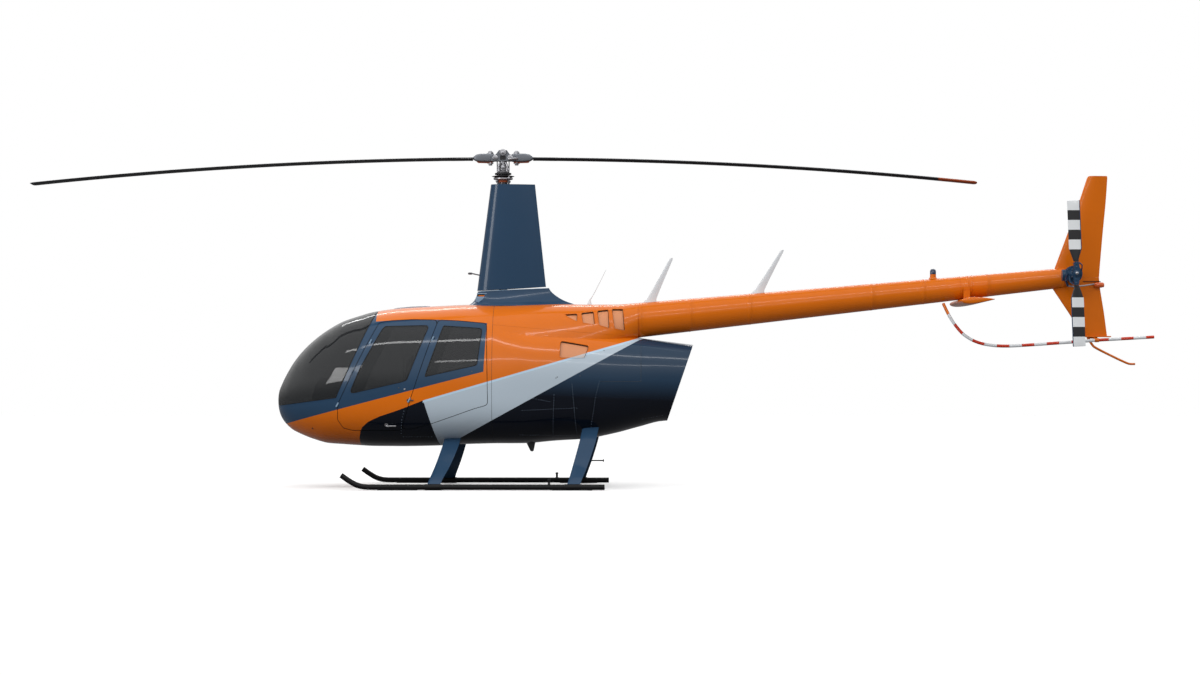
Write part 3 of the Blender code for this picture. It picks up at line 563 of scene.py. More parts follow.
def rounded(outline, radius=0.03, steps=7):
    made = []
    count = len(outline)
    for i in range(count):
        prev, here, ahead = (Vector(outline[k % count]) for k in (i - 1, i, i + 1))
        back, forth = prev - here, ahead - here
        turn = back.angle(forth)
        reach = min(radius / math.tan(turn / 2), back.length * 0.45, forth.length * 0.45)
        start, end = here + back.normalized() * reach, here + forth.normalized() * reach
        for k in range(steps + 1):
            t = k / steps
            made.append(tuple(start * (1 - t) ** 2 + here * (2 * t * (1 - t)) + end * t ** 2))
    return made


def grown(outline, amount):
    pts = [Vector(p) for p in outline]
    area = sum(a.x * b.y - b.x * a.y for a, b in zip(pts, pts[1:] + pts[:1]))
    sign = 1 if area > 0 else -1
    made = []
    for i in range(len(pts)):
        before = (pts[i] - pts[i - 1]).normalized()
        after = (pts[(i + 1) % len(pts)] - pts[i]).normalized()
        normal = Vector((before.y + after.y, -before.x - after.x)).normalized() * sign
        flat = Vector((after.y, -after.x)) * sign
        made.append(tuple(pts[i] + normal * (amount / max(normal.dot(flat), 0.3))))
    return made


def put(obj, name, material, body="airframe", nodes=(), angle=32, hulls=(), lining=None):
    """Names and shades a mesh, moves it into the row frame and lets it ride on its body."""
    obj.name = name
    obj.data.name = name
    mesh = obj.data
    mesh.materials.clear()
    mesh.materials.append(MAT[material] if isinstance(material, str) else material)
    mesh.polygons.foreach_set("material_index", [0] * len(mesh.polygons))
    mesh.shade_smooth()
    mesh.set_sharp_from_angle(angle=math.radians(angle))
    if hulls:
        surface_normals(mesh, hulls)
    if lining:
        mesh.materials.append(MAT[lining])
        centres = np.array([tuple(face.center) for face in mesh.polygons])
        facing = (hulls[0].normal(centres) * np.array([tuple(face.normal) for face in mesh.polygons])).sum(1)
        mesh.polygons.foreach_set("material_index", (facing < -0.7).astype(int).tolist())
    mesh.transform(Matrix.Translation((MAST_X, 0, 0)))
    mesh.update()
    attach(obj, body)
    if nodes:
        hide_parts(*nodes)
    return obj


def surface_normals(mesh, hulls):
    """Exact normals where a face lies on one of the hulls, so that cut panels share one reflection."""
    corners = np.zeros(len(mesh.loops) * 3)
    mesh.corner_normals.foreach_get("vector", corners)
    corners = corners.reshape(-1, 3)
    spots = np.zeros(len(mesh.vertices) * 3)
    mesh.vertices.foreach_get("co", spots)
    spots = spots.reshape(-1, 3)
    owner = np.zeros(len(mesh.loops), int)
    mesh.loops.foreach_get("vertex_index", owner)
    best = np.full(len(spots), 1e9)
    exact = np.zeros_like(spots)
    for hull in hulls:
        off = np.abs(hull.field(spots))
        near = off < best
        exact[near] = hull.normal(spots[near])
        best[near] = off[near]
    start = np.zeros(len(mesh.polygons), int)
    total = np.zeros(len(mesh.polygons), int)
    flat = np.zeros(len(mesh.polygons) * 3)
    mesh.polygons.foreach_get("loop_start", start)
    mesh.polygons.foreach_get("loop_total", total)
    mesh.polygons.foreach_get("normal", flat)
    face_normal = np.repeat(flat.reshape(-1, 3), total, axis=0)
    on_skin = (best[owner] < 0.004) & ((face_normal * exact[owner]).sum(1) > 0.94)
    corners[on_skin] = exact[owner][on_skin]
    mesh.normals_split_custom_set(corners.tolist())


def tube(points, radius, sides=12, end_radius=None, closed=False):
    """Round bar through points."""
    pts = [Vector(p) for p in points]
    count = len(pts)
    end_radius = radius if end_radius is None else end_radius
    rings = []
    first = (pts[1] - pts[0]).normalized()
    side = first.orthogonal().normalized()
    for i in range(count):
        before = (pts[i] - pts[i - 1]).normalized() if (i or closed) else first
        after = (pts[(i + 1) % count] - pts[i]).normalized() if (i < count - 1 or closed) else before
        along = (before + after).normalized()
        side = (side - along * side.dot(along)).normalized()
        up = along.cross(side)
        r = radius + (end_radius - radius) * i / (count - 1)
        rings.append([point_on(pts[i], side, up, r, 2 * math.pi * k / sides) for k in range(sides)])
    if not closed:
        return grid_mesh("tube", rings)
    verts = [v for ring in rings for v in ring]
    faces = []
    for level in range(count):
        a, b = level * sides, ((level + 1) % count) * sides
        for k in range(sides):
            j = (k + 1) % sides
            faces.append((a + k, a + j, b + j, b + k))
    return raw("tube", verts, faces)


def point_on(centre, side, up, radius, angle):
    return centre + side * (radius * math.cos(angle)) + up * (radius * math.sin(angle))


def smooth_path(points, steps=8):
    """Catmull-Rom curve through points."""
    pts = [Vector(p) for p in points]
    pts = [pts[0] * 2 - pts[1]] + pts + [pts[-1] * 2 - pts[-2]]
    made = []
    for i in range(1, len(pts) - 2):
        a, b, c, d = pts[i - 1:i + 3]
        for k in range(steps):
            t = k / steps
            made.append(0.5 * (2 * b + (c - a) * t + (2 * a - 5 * b + 4 * c - d) * t * t
                               + (3 * b - a - 3 * c + d) * t ** 3))
    made.append(pts[-2])
    return made


def merged(name, parts):
    """One object from several."""
    bm = bmesh.new()
    for part in parts:
        bm.from_mesh(part.data)
    mesh = bpy.data.meshes.new(name)
    bm.to_mesh(mesh)
    bm.free()
    for part in parts:
        bpy.data.objects.remove(part, do_unlink=True)
    obj = bpy.data.objects.new(name, mesh)
    bpy.context.scene.collection.objects.link(obj)
    return obj


def box(low, high, bevel=0.0, segments=3):
    bm = bmesh.new()
    bmesh.ops.create_cube(bm, size=1.0)
    for v in bm.verts:
        v.co = Vector([low[k] if v.co[k] < 0 else high[k] for k in range(3)])
    if bevel:
        bmesh.ops.bevel(bm, geom=bm.edges[:], offset=bevel, segments=segments, affect="EDGES", profile=0.5)
    mesh = bpy.data.meshes.new("box")
    bm.to_mesh(mesh)
    bm.free()
    obj = bpy.data.objects.new("box", mesh)
    bpy.context.scene.collection.objects.link(obj)
    return obj


def lathe(profile, start, along, sides=32):
    """Turned piece: profile pairs of distance along the axis and radius."""
    along = Vector(along).normalized()
    side = along.orthogonal().normalized()
    up = along.cross(side)
    start = Vector(start)
    rings = [[point_on(start + along * d, side, up, max(r, 1e-4), 2 * math.pi * k / sides) for k in range(sides)]
             for d, r in profile]
    return grid_mesh("turned", rings)


def bolt(centre, along, radius=0.008, height=0.008):
    """Hexagon head with a washer."""
    washer = lathe([(-0.002, radius * 1.5), (height * 0.25, radius * 1.5)], centre, along, 16)
    head = lathe([(height * 0.2, radius), (height, radius), (height * 1.15, radius * 0.8)], centre, along, 6)
    return merged("bolt", [washer, head])


# Skin helpers
cabin_hull = Hull(CABIN, NOSE_X)
cowl_hull = Hull(COWL)
roof_hull = Hull(ROOF)
NOSE_U = np.linspace(0.03, math.sqrt(SEAM_X - NOSE_X), 96)
CABIN_X = [NOSE_X + u * u for u in NOSE_U]


def cabin_solid(inset=0.0, longer=0.0):
    xs = [x for x in CABIN_X if x > NOSE_X + inset * 1.02]
    rings = cabin_hull.rings(xs, inset)
    if inset:
        mid = rings[0].mean(0)
        rings.insert(0, mid + (rings[0] - mid) * 0.6 - np.array([inset * 0.1, 0, 0]))
    if longer:
        rings.append(rings[-1] + np.array([longer, 0, 0]))
    return grid_mesh("cabin", rings)


def hull_solid(hull, inset=0.0, longer=0.0, aft=0.0, step=0.025):
    count = int((hull.end - hull.start) / step)
    rings = hull.rings(np.linspace(hull.start, hull.end, count), inset)
    if longer:
        rings.insert(0, rings[0] - np.array([longer, 0, 0]))
    if aft:
        rings.append(rings[-1] + np.array([aft, 0, 0]))
    return grid_mesh("body", rings)


def panel(outline, depth, side=-1):
    """Cabin skin inside a side outline, depth thick."""
    slab = cabin_solid()
    boolean(slab, cabin_solid(depth, 0.1), "DIFFERENCE")
    return boolean(slab, prism(outline, *sorted((side * 0.02, side * 0.95))), "INTERSECT")


def along_skin(hull, outline, side=-1, step=0.02, lift=0.0, closed=True):
    """Points on the skin below a side outline."""
    pts = [Vector(p) for p in outline]
    if closed:
        pts.append(pts[0])
    spots = []
    for a, b in zip(pts, pts[1:]):
        count = max(int((b - a).length / step), 1)
        spots += [a.lerp(b, k / count) for k in range(count)]
    if not closed:
        spots.append(pts[-1])
    xz = np.array([(p.x, p.y) for p in spots])
    y = hull.side_y(xz[:, 0], xz[:, 1])
    spots = np.stack([xz[:, 0], y, xz[:, 1]], 1)
    spots += hull.normal(spots) * lift
    spots[:, 1] *= side
    return spots


# Camera, floor and lights
SKY_LOW = 0.22
SKY_HIGH = 1.08
SKY_RISE = (0.0, 0.32)
FLOOR_SEEN = (0.97, 0.97, 0.97, 1)
FLOOR_FELT = (0.16, 0.16, 0.165, 1)
LIGHTS = [
    ("overhead_strip", (-0.5, -6.5, 8.5), (0.5, 0, 1.2), 16, 0.5, 270),
    ("second_strip", (2.5, -9.5, 5.2), (2.5, 0, 1.3), 9, 0.3, 60),
    ("front_panel", (-12, -11, 5.6), (-0.5, 0, 2.3), 4.5, 3.6, 420),
    ("far_strip", (0.5, 7.5, 8.0), (0.5, 0, 1.5), 14, 0.3, 220),
]


def build_stage():
    scene = bpy.context.scene
    camera = bpy.data.cameras.new("camera")
    camera.lens = 92.7
    camera.sensor_width = 36
    camera.clip_end = 200
    eye = bpy.data.objects.new("camera", camera)
    eye.location = (0.8275, -32.0, 1.13)
    eye.rotation_euler = (math.radians(90.74), 0, math.radians(1.28))
    scene.collection.objects.link(eye)
    scene.camera = eye

    bm = bmesh.new()
    bmesh.ops.create_grid(bm, x_segments=8, y_segments=8, size=60)
    mesh = bpy.data.meshes.new("floor")
    bm.to_mesh(mesh)
    bm.free()
    floor = bpy.data.objects.new("floor", mesh)
    floor.location = (0, 0, -0.0005)
    shader = Shader("floor_pale")
    felt = shader.node("ShaderNodeLightPath").outputs["Is Camera Ray"]
    shader.set(Base_Color=shader.mix(felt, FLOOR_FELT, tinted(shader, FLOOR_SEEN, 0.01, 0.4)), Roughness=0.9)
    shader.bsdf.inputs["Specular IOR Level"].default_value = 0.0
    mesh.materials.append(shader.material)
    scene.collection.objects.link(floor)

    world = bpy.data.worlds.new("studio")
    world.use_nodes = True
    nodes, links = world.node_tree.nodes, world.node_tree.links
    back = nodes["Background"]
    spot = nodes.new("ShaderNodeTexCoord")
    split = nodes.new("ShaderNodeSeparateXYZ")
    links.new(spot.outputs["Generated"], split.inputs[0])
    height = nodes.new("ShaderNodeMapRange")
    height.interpolation_type = "SMOOTHSTEP"
    for socket, value in zip(height.inputs[1:5], (*SKY_RISE, SKY_LOW, SKY_HIGH)):
        socket.default_value = value
    links.new(split.outputs[2], height.inputs[0])
    path = nodes.new("ShaderNodeLightPath")
    seen = nodes.new("ShaderNodeMix")
    links.new(path.outputs["Is Camera Ray"], seen.inputs[0])
    links.new(height.outputs[0], seen.inputs[2])
    seen.inputs[3].default_value = 1.0
    links.new(seen.outputs[0], back.inputs[1])
    back.inputs[0].default_value = (1, 1, 1, 1)
    scene.world = world
    scene.view_settings.view_transform = "Standard"

    for name, spot, aim, width, height, power in LIGHTS:
        light = bpy.data.lights.new(name, "AREA")
        light.shape = "RECTANGLE"
        light.size, light.size_y = width, height
        light.energy = power
        obj = bpy.data.objects.new(name, light)
        obj.location = spot
        obj.rotation_euler = (Vector(aim) - Vector(spot)).to_track_quat("-Z", "Y").to_euler()
        scene.collection.objects.link(obj)


# Fuselage
def build_cabin():
    shell = cabin_solid()
    boolean(shell, cabin_solid(SKIN, 0.1), "DIFFERENCE")
    for side in (-1, 1):
        span = sorted((side * 0.018, side * 0.95))
        boolean(shell, prism(WINDSHIELD, *span), "DIFFERENCE")
        boolean(shell, prism(rounded(grown(FRONT_DOOR, 0.003), 0.05), *sorted((side * 0.3, side * 0.95))), "DIFFERENCE")
        boolean(shell, prism(rounded(grown(REAR_DOOR, 0.003), 0.05), *sorted((side * 0.3, side * 0.95))), "DIFFERENCE")
    put(shell, "cabin_skin", "livery", nodes=["cabin_shell"], hulls=[cabin_hull],
        lining="cloth")

    for side, word in ((-1, "left"), (1, "right")):
        pane = cabin_solid()
        boolean(pane, cabin_solid(PANE, 0.1), "DIFFERENCE")
        boolean(pane, prism(grown(WINDSHIELD, -0.0006), *sorted((side * 0.0186, side * 0.95))), "INTERSECT")
        put(pane, "windshield_pane_" + word, "glass", nodes=["windshield_" + word],
            hulls=[cabin_hull])
        for kind, outline, window in (("front", FRONT_DOOR, FRONT_WINDOW), ("rear", REAR_DOOR, REAR_WINDOW)):
            body = kind + "_" + word + "_door"
            slab = panel(rounded(grown(outline, -0.003), 0.045), SKIN, side)
            boolean(slab, prism(rounded(window, 0.035), *sorted((side * 0.1, side * 0.95))), "DIFFERENCE")
            put(slab, "door_skin_" + kind + "_" + word, "livery", body, ["door_" + kind + "_" + word],
                hulls=[cabin_hull], lining="cloth")
            pane = panel(rounded(grown(window, -0.0006), 0.035), PANE, side)
            put(pane, "door_pane_" + kind + "_" + word, "glass", body, ["window_" + kind + "_" + word],
                hulls=[cabin_hull])


def build_cowls():
    body = boolean(hull_solid(cowl_hull, 0, 0.03), hull_solid(roof_hull, 0, 0.03), "UNION")
    inner = boolean(hull_solid(cowl_hull, 0.015, 0.06), hull_solid(roof_hull, 0.015, 0.06, 0.05), "UNION")
    boolean(body, inner, "DIFFERENCE")
    boolean(body, box((-0.5, -1, 0.2), (SEAM_X + 0.0008, 1, 2.2)), "DIFFERENCE")
    roof = copy_of(body)
    above = [(x, z - 0.0006) for x, z in RIDGE] + [(2.4, 2.6), (-0.3, 2.6)]
    boolean(body, prism(above, -1, 1), "DIFFERENCE")
    slope = (1.968 - 1.699) / (1.465 - 0.679)
    low, high = 1.699 + slope * (0.3 - 0.679), 1.699 + slope * (2.2 - 0.679)
    boolean(body, prism([(low, 0.3), (high, 2.2), (3.2, 2.2), (3.2, 0.3)], -1, 1), "DIFFERENCE")
    boolean(body, prism(rounded(INTAKE, 0.03), -0.8, 0.8), "DIFFERENCE")
    put(body, "engine_cowl_skin", "livery", nodes=["engine_cowl"], hulls=[cowl_hull, roof_hull])
    below = [(x, z + 0.0006) for x, z in RIDGE] + [(2.4, 0.1), (-0.3, 0.1)]
    boolean(roof, prism(below, -1, 1), "DIFFERENCE")
    for outline in GRILLES:
        boolean(roof, prism(rounded(outline, 0.02), -0.6, 0.6), "DIFFERENCE")
    put(roof, "roof_skin", "livery", nodes=["roof_cowling"], hulls=[cowl_hull, roof_hull])


# Mast fairings
def foil(chord, thick, steps=20, blunt=0.0012):
    """Streamlined outline, leading edge at 0."""
    t = 0.5 * (1 - np.cos(np.pi * np.arange(steps + 1) / steps))
    y = 5 * thick * chord * (0.2969 * np.sqrt(t) - 0.126 * t - 0.3516 * t ** 2 + 0.2843 * t ** 3 - 0.0986 * t ** 4)
    upper = [(a * chord, b + blunt * a) for a, b in zip(t, y)]
    return upper + [(a, -b) for a, b in reversed(upper[1:-1])] if blunt == 0 else \
        upper + [(a, -b) for a, b in reversed(upper)]


def teardrop(lead, trail, half, z):
    return [(lead + a, b, z) for a, b in foil(trail - lead, 2 * half / (trail - lead), 28, 0.001)]


def blend_rows(rows, count):
    """Rows of numbers interpolated smoothly to count rows."""
    table = np.array(rows, float)
    u = np.linspace(0, 1, len(table))
    m = slopes(u, table)
    made = []
    for t in np.linspace(0, 1, count):
        i = min(int(t * (len(table) - 1)), len(table) - 2)
        h = u[i + 1] - u[i]
        k = (t - u[i]) / h
        made.append((1 + 2 * k) * (1 - k) ** 2 * table[i] + k * (1 - k) ** 2 * h * m[i]
                    + k * k * (3 - 2 * k) * table[i + 1] + k * k * (k - 1) * h * m[i + 1])
    return made


BASE_ROWS = [
    (-0.372, 0.798, 0.205, 1.868), (-0.350, 0.720, 0.188, 1.888), (-0.318, 0.635, 0.160, 1.915),
    (-0.290, 0.560, 0.140, 1.955), (-0.272, 0.503, 0.126, 2.000), (-0.262, 0.476, 0.119, 2.034),
]
BASE_SLOPE = 0.049
MAST_SLOPE = 0.057


def build_mast():
    rings = []
    rows = blend_rows(BASE_ROWS, 24)
    for k, row in enumerate(rows):
        share = k / (len(rows) - 1)
        rings.append([(x, y, z + BASE_SLOPE * share * (x - 0.107)) for x, y, z in teardrop(*row)])
    put(grid_mesh("base", rings), "mast_base_skin", "blue", nodes=["mast_base_fairing"])
    # A pale ring along the base fairing's top edge: painted highlight for the bright line along that edge.
    top = [(x, y * 1.012, z + 0.0015) for x, y, z in rings[-1]]
    put(tube(top, 0.0035, 8, closed=True), "mast_base_highlight_lip", "pearl", angle=60)

    outer = grid_mesh("mast", [mast_ring(t, 0.0) for t in np.linspace(0, 1, 30)])
    inner = grid_mesh("bore", [mast_ring(t, 0.010) for t in (0.14, 0.6, 1.04)])
    boolean(outer, inner, "DIFFERENCE")
    put(outer, "mast_skin", "blue", nodes=["mast_fairing"])
    block = [box((-0.276, -0.112, 1.903), (-0.150, 0.112, 1.966), 0.008),
             box((-0.266, -0.108, 1.990), (-0.150, 0.108, 2.001), 0.003)]
    put(merged("block", block), "mast_base_block", "pearl", angle=40)
    # The slot is filled by a black box: painted shade for the dark inside of the opening.
    put(box((-0.262, -0.104, 1.965), (-0.156, 0.104, 1.991), 0.002), "mast_base_slot", "rubber", angle=40)
    put(box((-0.250, -0.106, 1.967), (-0.170, 0.106, 1.978), 0.002), "mast_base_slot_floor", "orange", angle=40)


def mast_ring(t, inset):
    """Section of the tall fairing, 0 at its foot and 1 at its top."""
    ring = teardrop(-0.268 + 0.142 * t + inset, 0.445 - 0.114 * t - 2 * inset, 0.110 - 0.025 * t - 0.8 * inset,
                    2.047 + 1.083 * t)
    return [(x, y, z + MAST_SLOPE * (1 - min(t, 1.0)) * (x - 0.087)) for x, y, z in ring]


# Tail
BOOM = ((1.4003, 1.721, 0.180), (5.809, 2.159, 0.101))


def boom_at(x):
    t = (x - BOOM[0][0]) / (BOOM[1][0] - BOOM[0][0])
    return BOOM[0][1] + (BOOM[1][1] - BOOM[0][1]) * t, BOOM[0][2] + (BOOM[1][2] - BOOM[0][2]) * t


BOOM_SEAMS = [1.421, 1.936, 2.554, 3.809, 4.343, 4.794, 4.999, 5.789]


def ring_at(x, radius, z, count=64):
    a = 2 * np.pi * np.arange(count) / count
    return np.stack([np.full(count, x), radius * np.cos(a), z + radius * np.sin(a)], 1)


def build_boom():
    spots = sorted(set(np.linspace(BOOM[0][0], BOOM[1][0], 60).tolist()
                       + [x + d for x in BOOM_SEAMS for d in (-0.0125, -0.0115, 0.0115, 0.0125)]))
    rings = []
    for x in spots:
        z, radius = boom_at(x)
        lap = 0.0009 if any(abs(x - s) < 0.012 for s in BOOM_SEAMS) else 0.0
        rings.append(ring_at(x, radius + lap, z))
    put(grid_mesh("boom", rings), "tailcone_skin", "orange", nodes=["tailcone"], angle=50)
    rivets = []
    for x in BOOM_SEAMS:
        for dx in (-0.0065, 0.0065):
            z, radius = boom_at(x + dx)
            for k in range(32):
                a = 2 * math.pi * k / 32
                out = Vector((0, math.cos(a), math.sin(a)))
                rivets.append((Vector((x + dx, 0, z)) + out * (radius + 0.0009), out))
    put(domes(rivets, 0.0028), "tailcone_rivets", "orange", angle=80)


def domes(spots, radius, height=0.35, sides=6):
    """Low round heads on a surface, as one mesh."""
    verts, faces = [], []
    for centre, out in spots:
        out = Vector(out).normalized()
        side = out.orthogonal().normalized()
        up = out.cross(side)
        base = len(verts)
        for share, lift in ((1.0, -0.3), (0.75, height * 0.7)):
            for k in range(sides):
                verts.append(point_on(Vector(centre) + out * (radius * lift), side, up, radius * share,
                                      2 * math.pi * k / sides))
        verts.append(Vector(centre) + out * (radius * height))
        top = len(verts) - 1
        for k in range(sides):
            j = (k + 1) % sides
            faces.append((base + k, base + j, base + sides + j, base + sides + k))
            faces.append((base + sides + k, base + sides + j, top))
    return raw("domes", verts, faces)


def fin_loft(rows, thick, count):
    """Streamlined surface from rows of height, leading and trailing X."""
    rings = []
    for z, lead, trail in [tuple(r) for r in rows]:
        rings.append([(lead + a, b, z) for a, b in foil(trail - lead, thick / (trail - lead), count)])
    return grid_mesh("fin", rings)


def boom_cut(grow=0.0):
    return grid_mesh("boom", [ring_at(x, boom_at(x)[1] + grow, boom_at(x)[0]) for x in (1.4, 3.6, 5.8095)])


def build_fins():
    upper = [(2.16, 5.67, 6.158), (2.27, 5.706, 6.166), (2.60, 5.829, 6.195), (2.911, 5.944, 6.226),
             (3.05, 5.990, 6.237), (3.19, 6.037, 6.246), (3.204, 6.046, 6.244), (3.210, 6.062, 6.238)]
    piece = boolean(fin_loft(upper, 0.045, 18), boom_cut(), "DIFFERENCE")
    put(piece, "upper_fin_skin", "orange", nodes=["upper_fin"], angle=40)
    lower = [(1.557, 5.992, 6.239), (1.60, 5.967, 6.234), (1.80, 5.842, 6.208), (2.047, 5.678, 6.168),
             (2.1595, 5.68, 6.158)]
    piece = boolean(fin_loft(lower, 0.045, 18), boom_cut(), "DIFFERENCE")
    put(piece, "lower_fin_skin", "orange", nodes=["lower_fin"], angle=40)

    rings = []
    for y, tip in ((-0.70, 0.55), (-0.697, 0.8), (-0.690, 0.95), (-0.68, 1.0), (0, 1.0), (0.68, 1.0), (0.690, 0.95),
                   (0.697, 0.8), (0.70, 0.55)):
        rings.append([(4.8475 + (a - 0.1665) * (0.9 + 0.1 * tip), y, 1.902 + 0.06 * a + b * tip)
                      for a, b in foil(0.333, 0.2, 20)])
    stab = boolean(grid_mesh("stabilizer", rings), boom_cut(), "DIFFERENCE")
    put(stab, "stabilizer_skin", "orange", nodes=["horizontal_stabilizer"], angle=50)


# Rotors
def build_blades():
    for side, word in ((-1, "front"), (1, "rear")):
        rings = []
        rows = [(0.3125, 0.075, 0.50), (0.36, 0.085, 0.42), (0.42, 0.13, 0.28), (0.50, 0.21, 0.17),
                (0.60, BLADE_CHORD, 0.13)]
        rows += [(r, BLADE_CHORD, 0.13) for r in np.linspace(0.9, 4.87, 28)]
        rows += [(4.885, BLADE_CHORD * 0.97, 0.12), (4.895, BLADE_CHORD * 0.9, 0.10),
                 (ROTOR_RADIUS, BLADE_CHORD * 0.8, 0.07)]
        for reach, chord, thick in rows:
            z = HUB_Z - 0.012 - BLADE_DROOP * reach * reach
            rings.append([(side * reach, side * (a - 0.28 * chord), z + b) for a, b in foil(chord, thick, 14)])
        put(grid_mesh("blade", rings), "rotor_blade_" + word, "blade_tipped", "main_rotor", ["main_blade_" + word],
            angle=50)


TAIL_LEAN = math.radians(-2.2)
TAIL_ROOT = 0.13


def on_tail_blade(section, side, reach, edge):
    """Section points at a reach along the blade, their blunt edge at edge, leaning outboard of the root."""
    lean = Matrix.Rotation(TAIL_LEAN if reach > TAIL_ROOT else 0.0, 3, "Y")
    return [Vector(TAIL_HUB) + lean @ Vector((side * (edge - a), b, side * reach)) for a, b in section]


def build_tail_blades():
    rows = [(0.1205, 0.052, 0.40), (0.145, 0.060, 0.36), (0.16, 0.070, 0.30), (0.205, 0.098, 0.20),
            (0.245, 0.123, 0.15), (0.258, 0.13, 0.13)]
    rows += [(r, 0.13, 0.12) for r in np.linspace(0.30, 0.737, 10)] + [(0.743, 0.127, 0.10), (0.745, 0.122, 0.08)]
    for side, word in ((1, "upper"), (-1, "lower")):
        rings, strip = [], []
        for reach, chord, thick in rows:
            section = foil(chord, thick, 12)
            rings.append(on_tail_blade(section, side, reach, 0.5 * chord))
            nose = [(a, b * 1.04) for a, b in section if a < 0.014]
            if reach > 0.2:
                strip.append(on_tail_blade(nose, side, reach, 0.5 * chord + 0.0006))
        put(grid_mesh("blade", rings), "tail_rotor_blade_" + word, MAT["bands"], "tail_rotor",
            ["tail_blade_" + word], angle=50)
        put(grid_mesh("strip", strip), "tail_blade_edge_" + word, "blue", "tail_rotor", angle=50)


# Landing gear
def skid_path():
    z = SKID_RADIUS + 0.004
    bend = [(-1.565, 0.150), (-1.50, 0.104), (-1.43, 0.062), (-1.365, 0.0395), (-1.30, z + 0.001), (-1.22, z)]
    return [(x, -SKID_Y, h) for x, h in bend] + [(x, -SKID_Y, z) for x in (-0.5, 0.4, 1.07)]


def build_gear():
    for flip, word in ((False, "left"), (True, "right")):
        path = smooth_path(skid_path(), 5)
        skid = tube(path, SKID_RADIUS, 28)
        parts = [skid]
        for low, high in ((-1.20, -0.80), (0.55, 0.95)):
            parts.append(box((low, -SKID_Y - 0.022, 0.0), (high, -SKID_Y + 0.022, 0.016), 0.003))
        piece = merged("skid", parts)
        if flip:
            piece = swap(piece)
        put(piece, "skid_tube_" + word, "skid", nodes=["skid_" + word], angle=45)
        for kind, top, bottom in (("front", (-0.494, 0.50), (-0.640, 0.046)), ("rear", (0.90, 0.545), (0.760, 0.046))):
            rows = [(-0.20, top[0] + 0.035, top[1] + 0.15, 0.172), (-0.38, top[0] + 0.016, top[1] + 0.065, 0.168),
                    (-0.55, top[0], top[1] - 0.03, 0.165), (-0.80, (top[0] + bottom[0]) / 2, 0.5 * top[1] - 0.01, 0.15),
                    (-1.02, bottom[0] + 0.02, bottom[1] + 0.06, 0.132), (-SKID_Y, bottom[0], bottom[1], 0.128)]
            rings = []
            for y, x, z, chord in blend_rows(rows, 26):
                rings.append([(x - chord / 2 + a, y + 0.6 * b, z + 0.8 * b) for a, b in foil(chord, 0.30, 16)])
            leg = grid_mesh("leg", rings)
            trim = cowl_trim() if kind == "rear" else cabin_solid(0.004)
            boolean(leg, trim, "DIFFERENCE")
            if flip:
                leg = swap(leg)
            put(leg, "leg_fairing_" + kind + "_" + word, "blue", nodes=["leg_" + kind + "_" + word],
                angle=50)


def cowl_trim():
    return hull_solid(cowl_hull, 0.004)


def swap(obj):
    """Moves the piece to the right side."""
    obj.data.transform(Matrix.Diagonal((1, -1, 1, 1)))
    obj.data.flip_normals()
    return obj


# Tail guard
GUARD = [(4.549, -0.05, 1.893), (4.585, -0.075, 1.81), (4.621, -0.10, 1.739), (4.675, -0.13, 1.655),
         (4.733, -0.16, 1.585), (4.790, -0.18, 1.54), (4.855, -0.20, 1.503), (4.93, -0.215, 1.477),
         (5.009, -0.23, 1.462), (5.10, -0.242, 1.453), (5.213, -0.25, 1.452), (5.40, -0.25, 1.462),
         (5.622, -0.25, 1.477), (5.88, -0.25, 1.495), (6.133, -0.25, 1.513), (6.40, -0.25, 1.528),
         (6.684, -0.25, 1.544)]
BAND = 0.127


def build_guard():
    path = smooth_path(GUARD, 10)
    dist = [0.0]
    for a, b in zip(path, path[1:]):
        dist.append(dist[-1] + (b - a).length)
    total = dist[-1]

    def spot(d):
        i = min(max(int(np.searchsorted(dist, d)) - 1, 0), len(path) - 2)
        return path[i].lerp(path[i + 1], (d - dist[i]) / (dist[i + 1] - dist[i]))

    edges = [0.0, 0.13] + [0.13 + BAND * k for k in range(1, int((total - 0.13) / BAND) + 1)] + [total]
    groups = {"orange": [], "white": [], "red": []}
    for i, (a, b) in enumerate(zip(edges, edges[1:])):
        if b - a < 0.004:
            continue
        word = "orange" if i == 0 else ("white" if i % 2 else "red")
        count = max(int((b - a) / 0.02), 2)
        groups[word].append(tube([spot(a + (b - a) * k / count) for k in range(count + 1)], 0.016, 16))
    nodes = {"white": ["tail_guard"]}
    for word, parts in groups.items():
        put(merged("guard", parts), "tail_guard_" + word, word, nodes=nodes.get(word, []),
            angle=50)


# Seams, rivets, screens and fittings of the fuselage
def side_points(hull, line, side, step, lift):
    return along_skin(hull, line, side, step, lift, closed=False)


def seam(hull, line, side, radius=0.0016, material="rubber", closed=False, lift=0.0, body="airframe", name="seam"):
    """Thin line that follows the skin."""
    spots = along_skin(hull, line, side, 0.012, lift, closed)
    return put(tube(spots, radius, 6, closed=closed), name, material, body, angle=60)


def rivets(hull, line, side, pitch=0.026, radius=0.0033):
    spots = side_points(hull, line, side, pitch, 0.0003)
    mirror = spots.copy()
    mirror[:, 1] *= side
    normals = hull.normal(mirror)
    normals[:, 1] *= side
    return list(zip(map(Vector, spots), map(Vector, normals)))


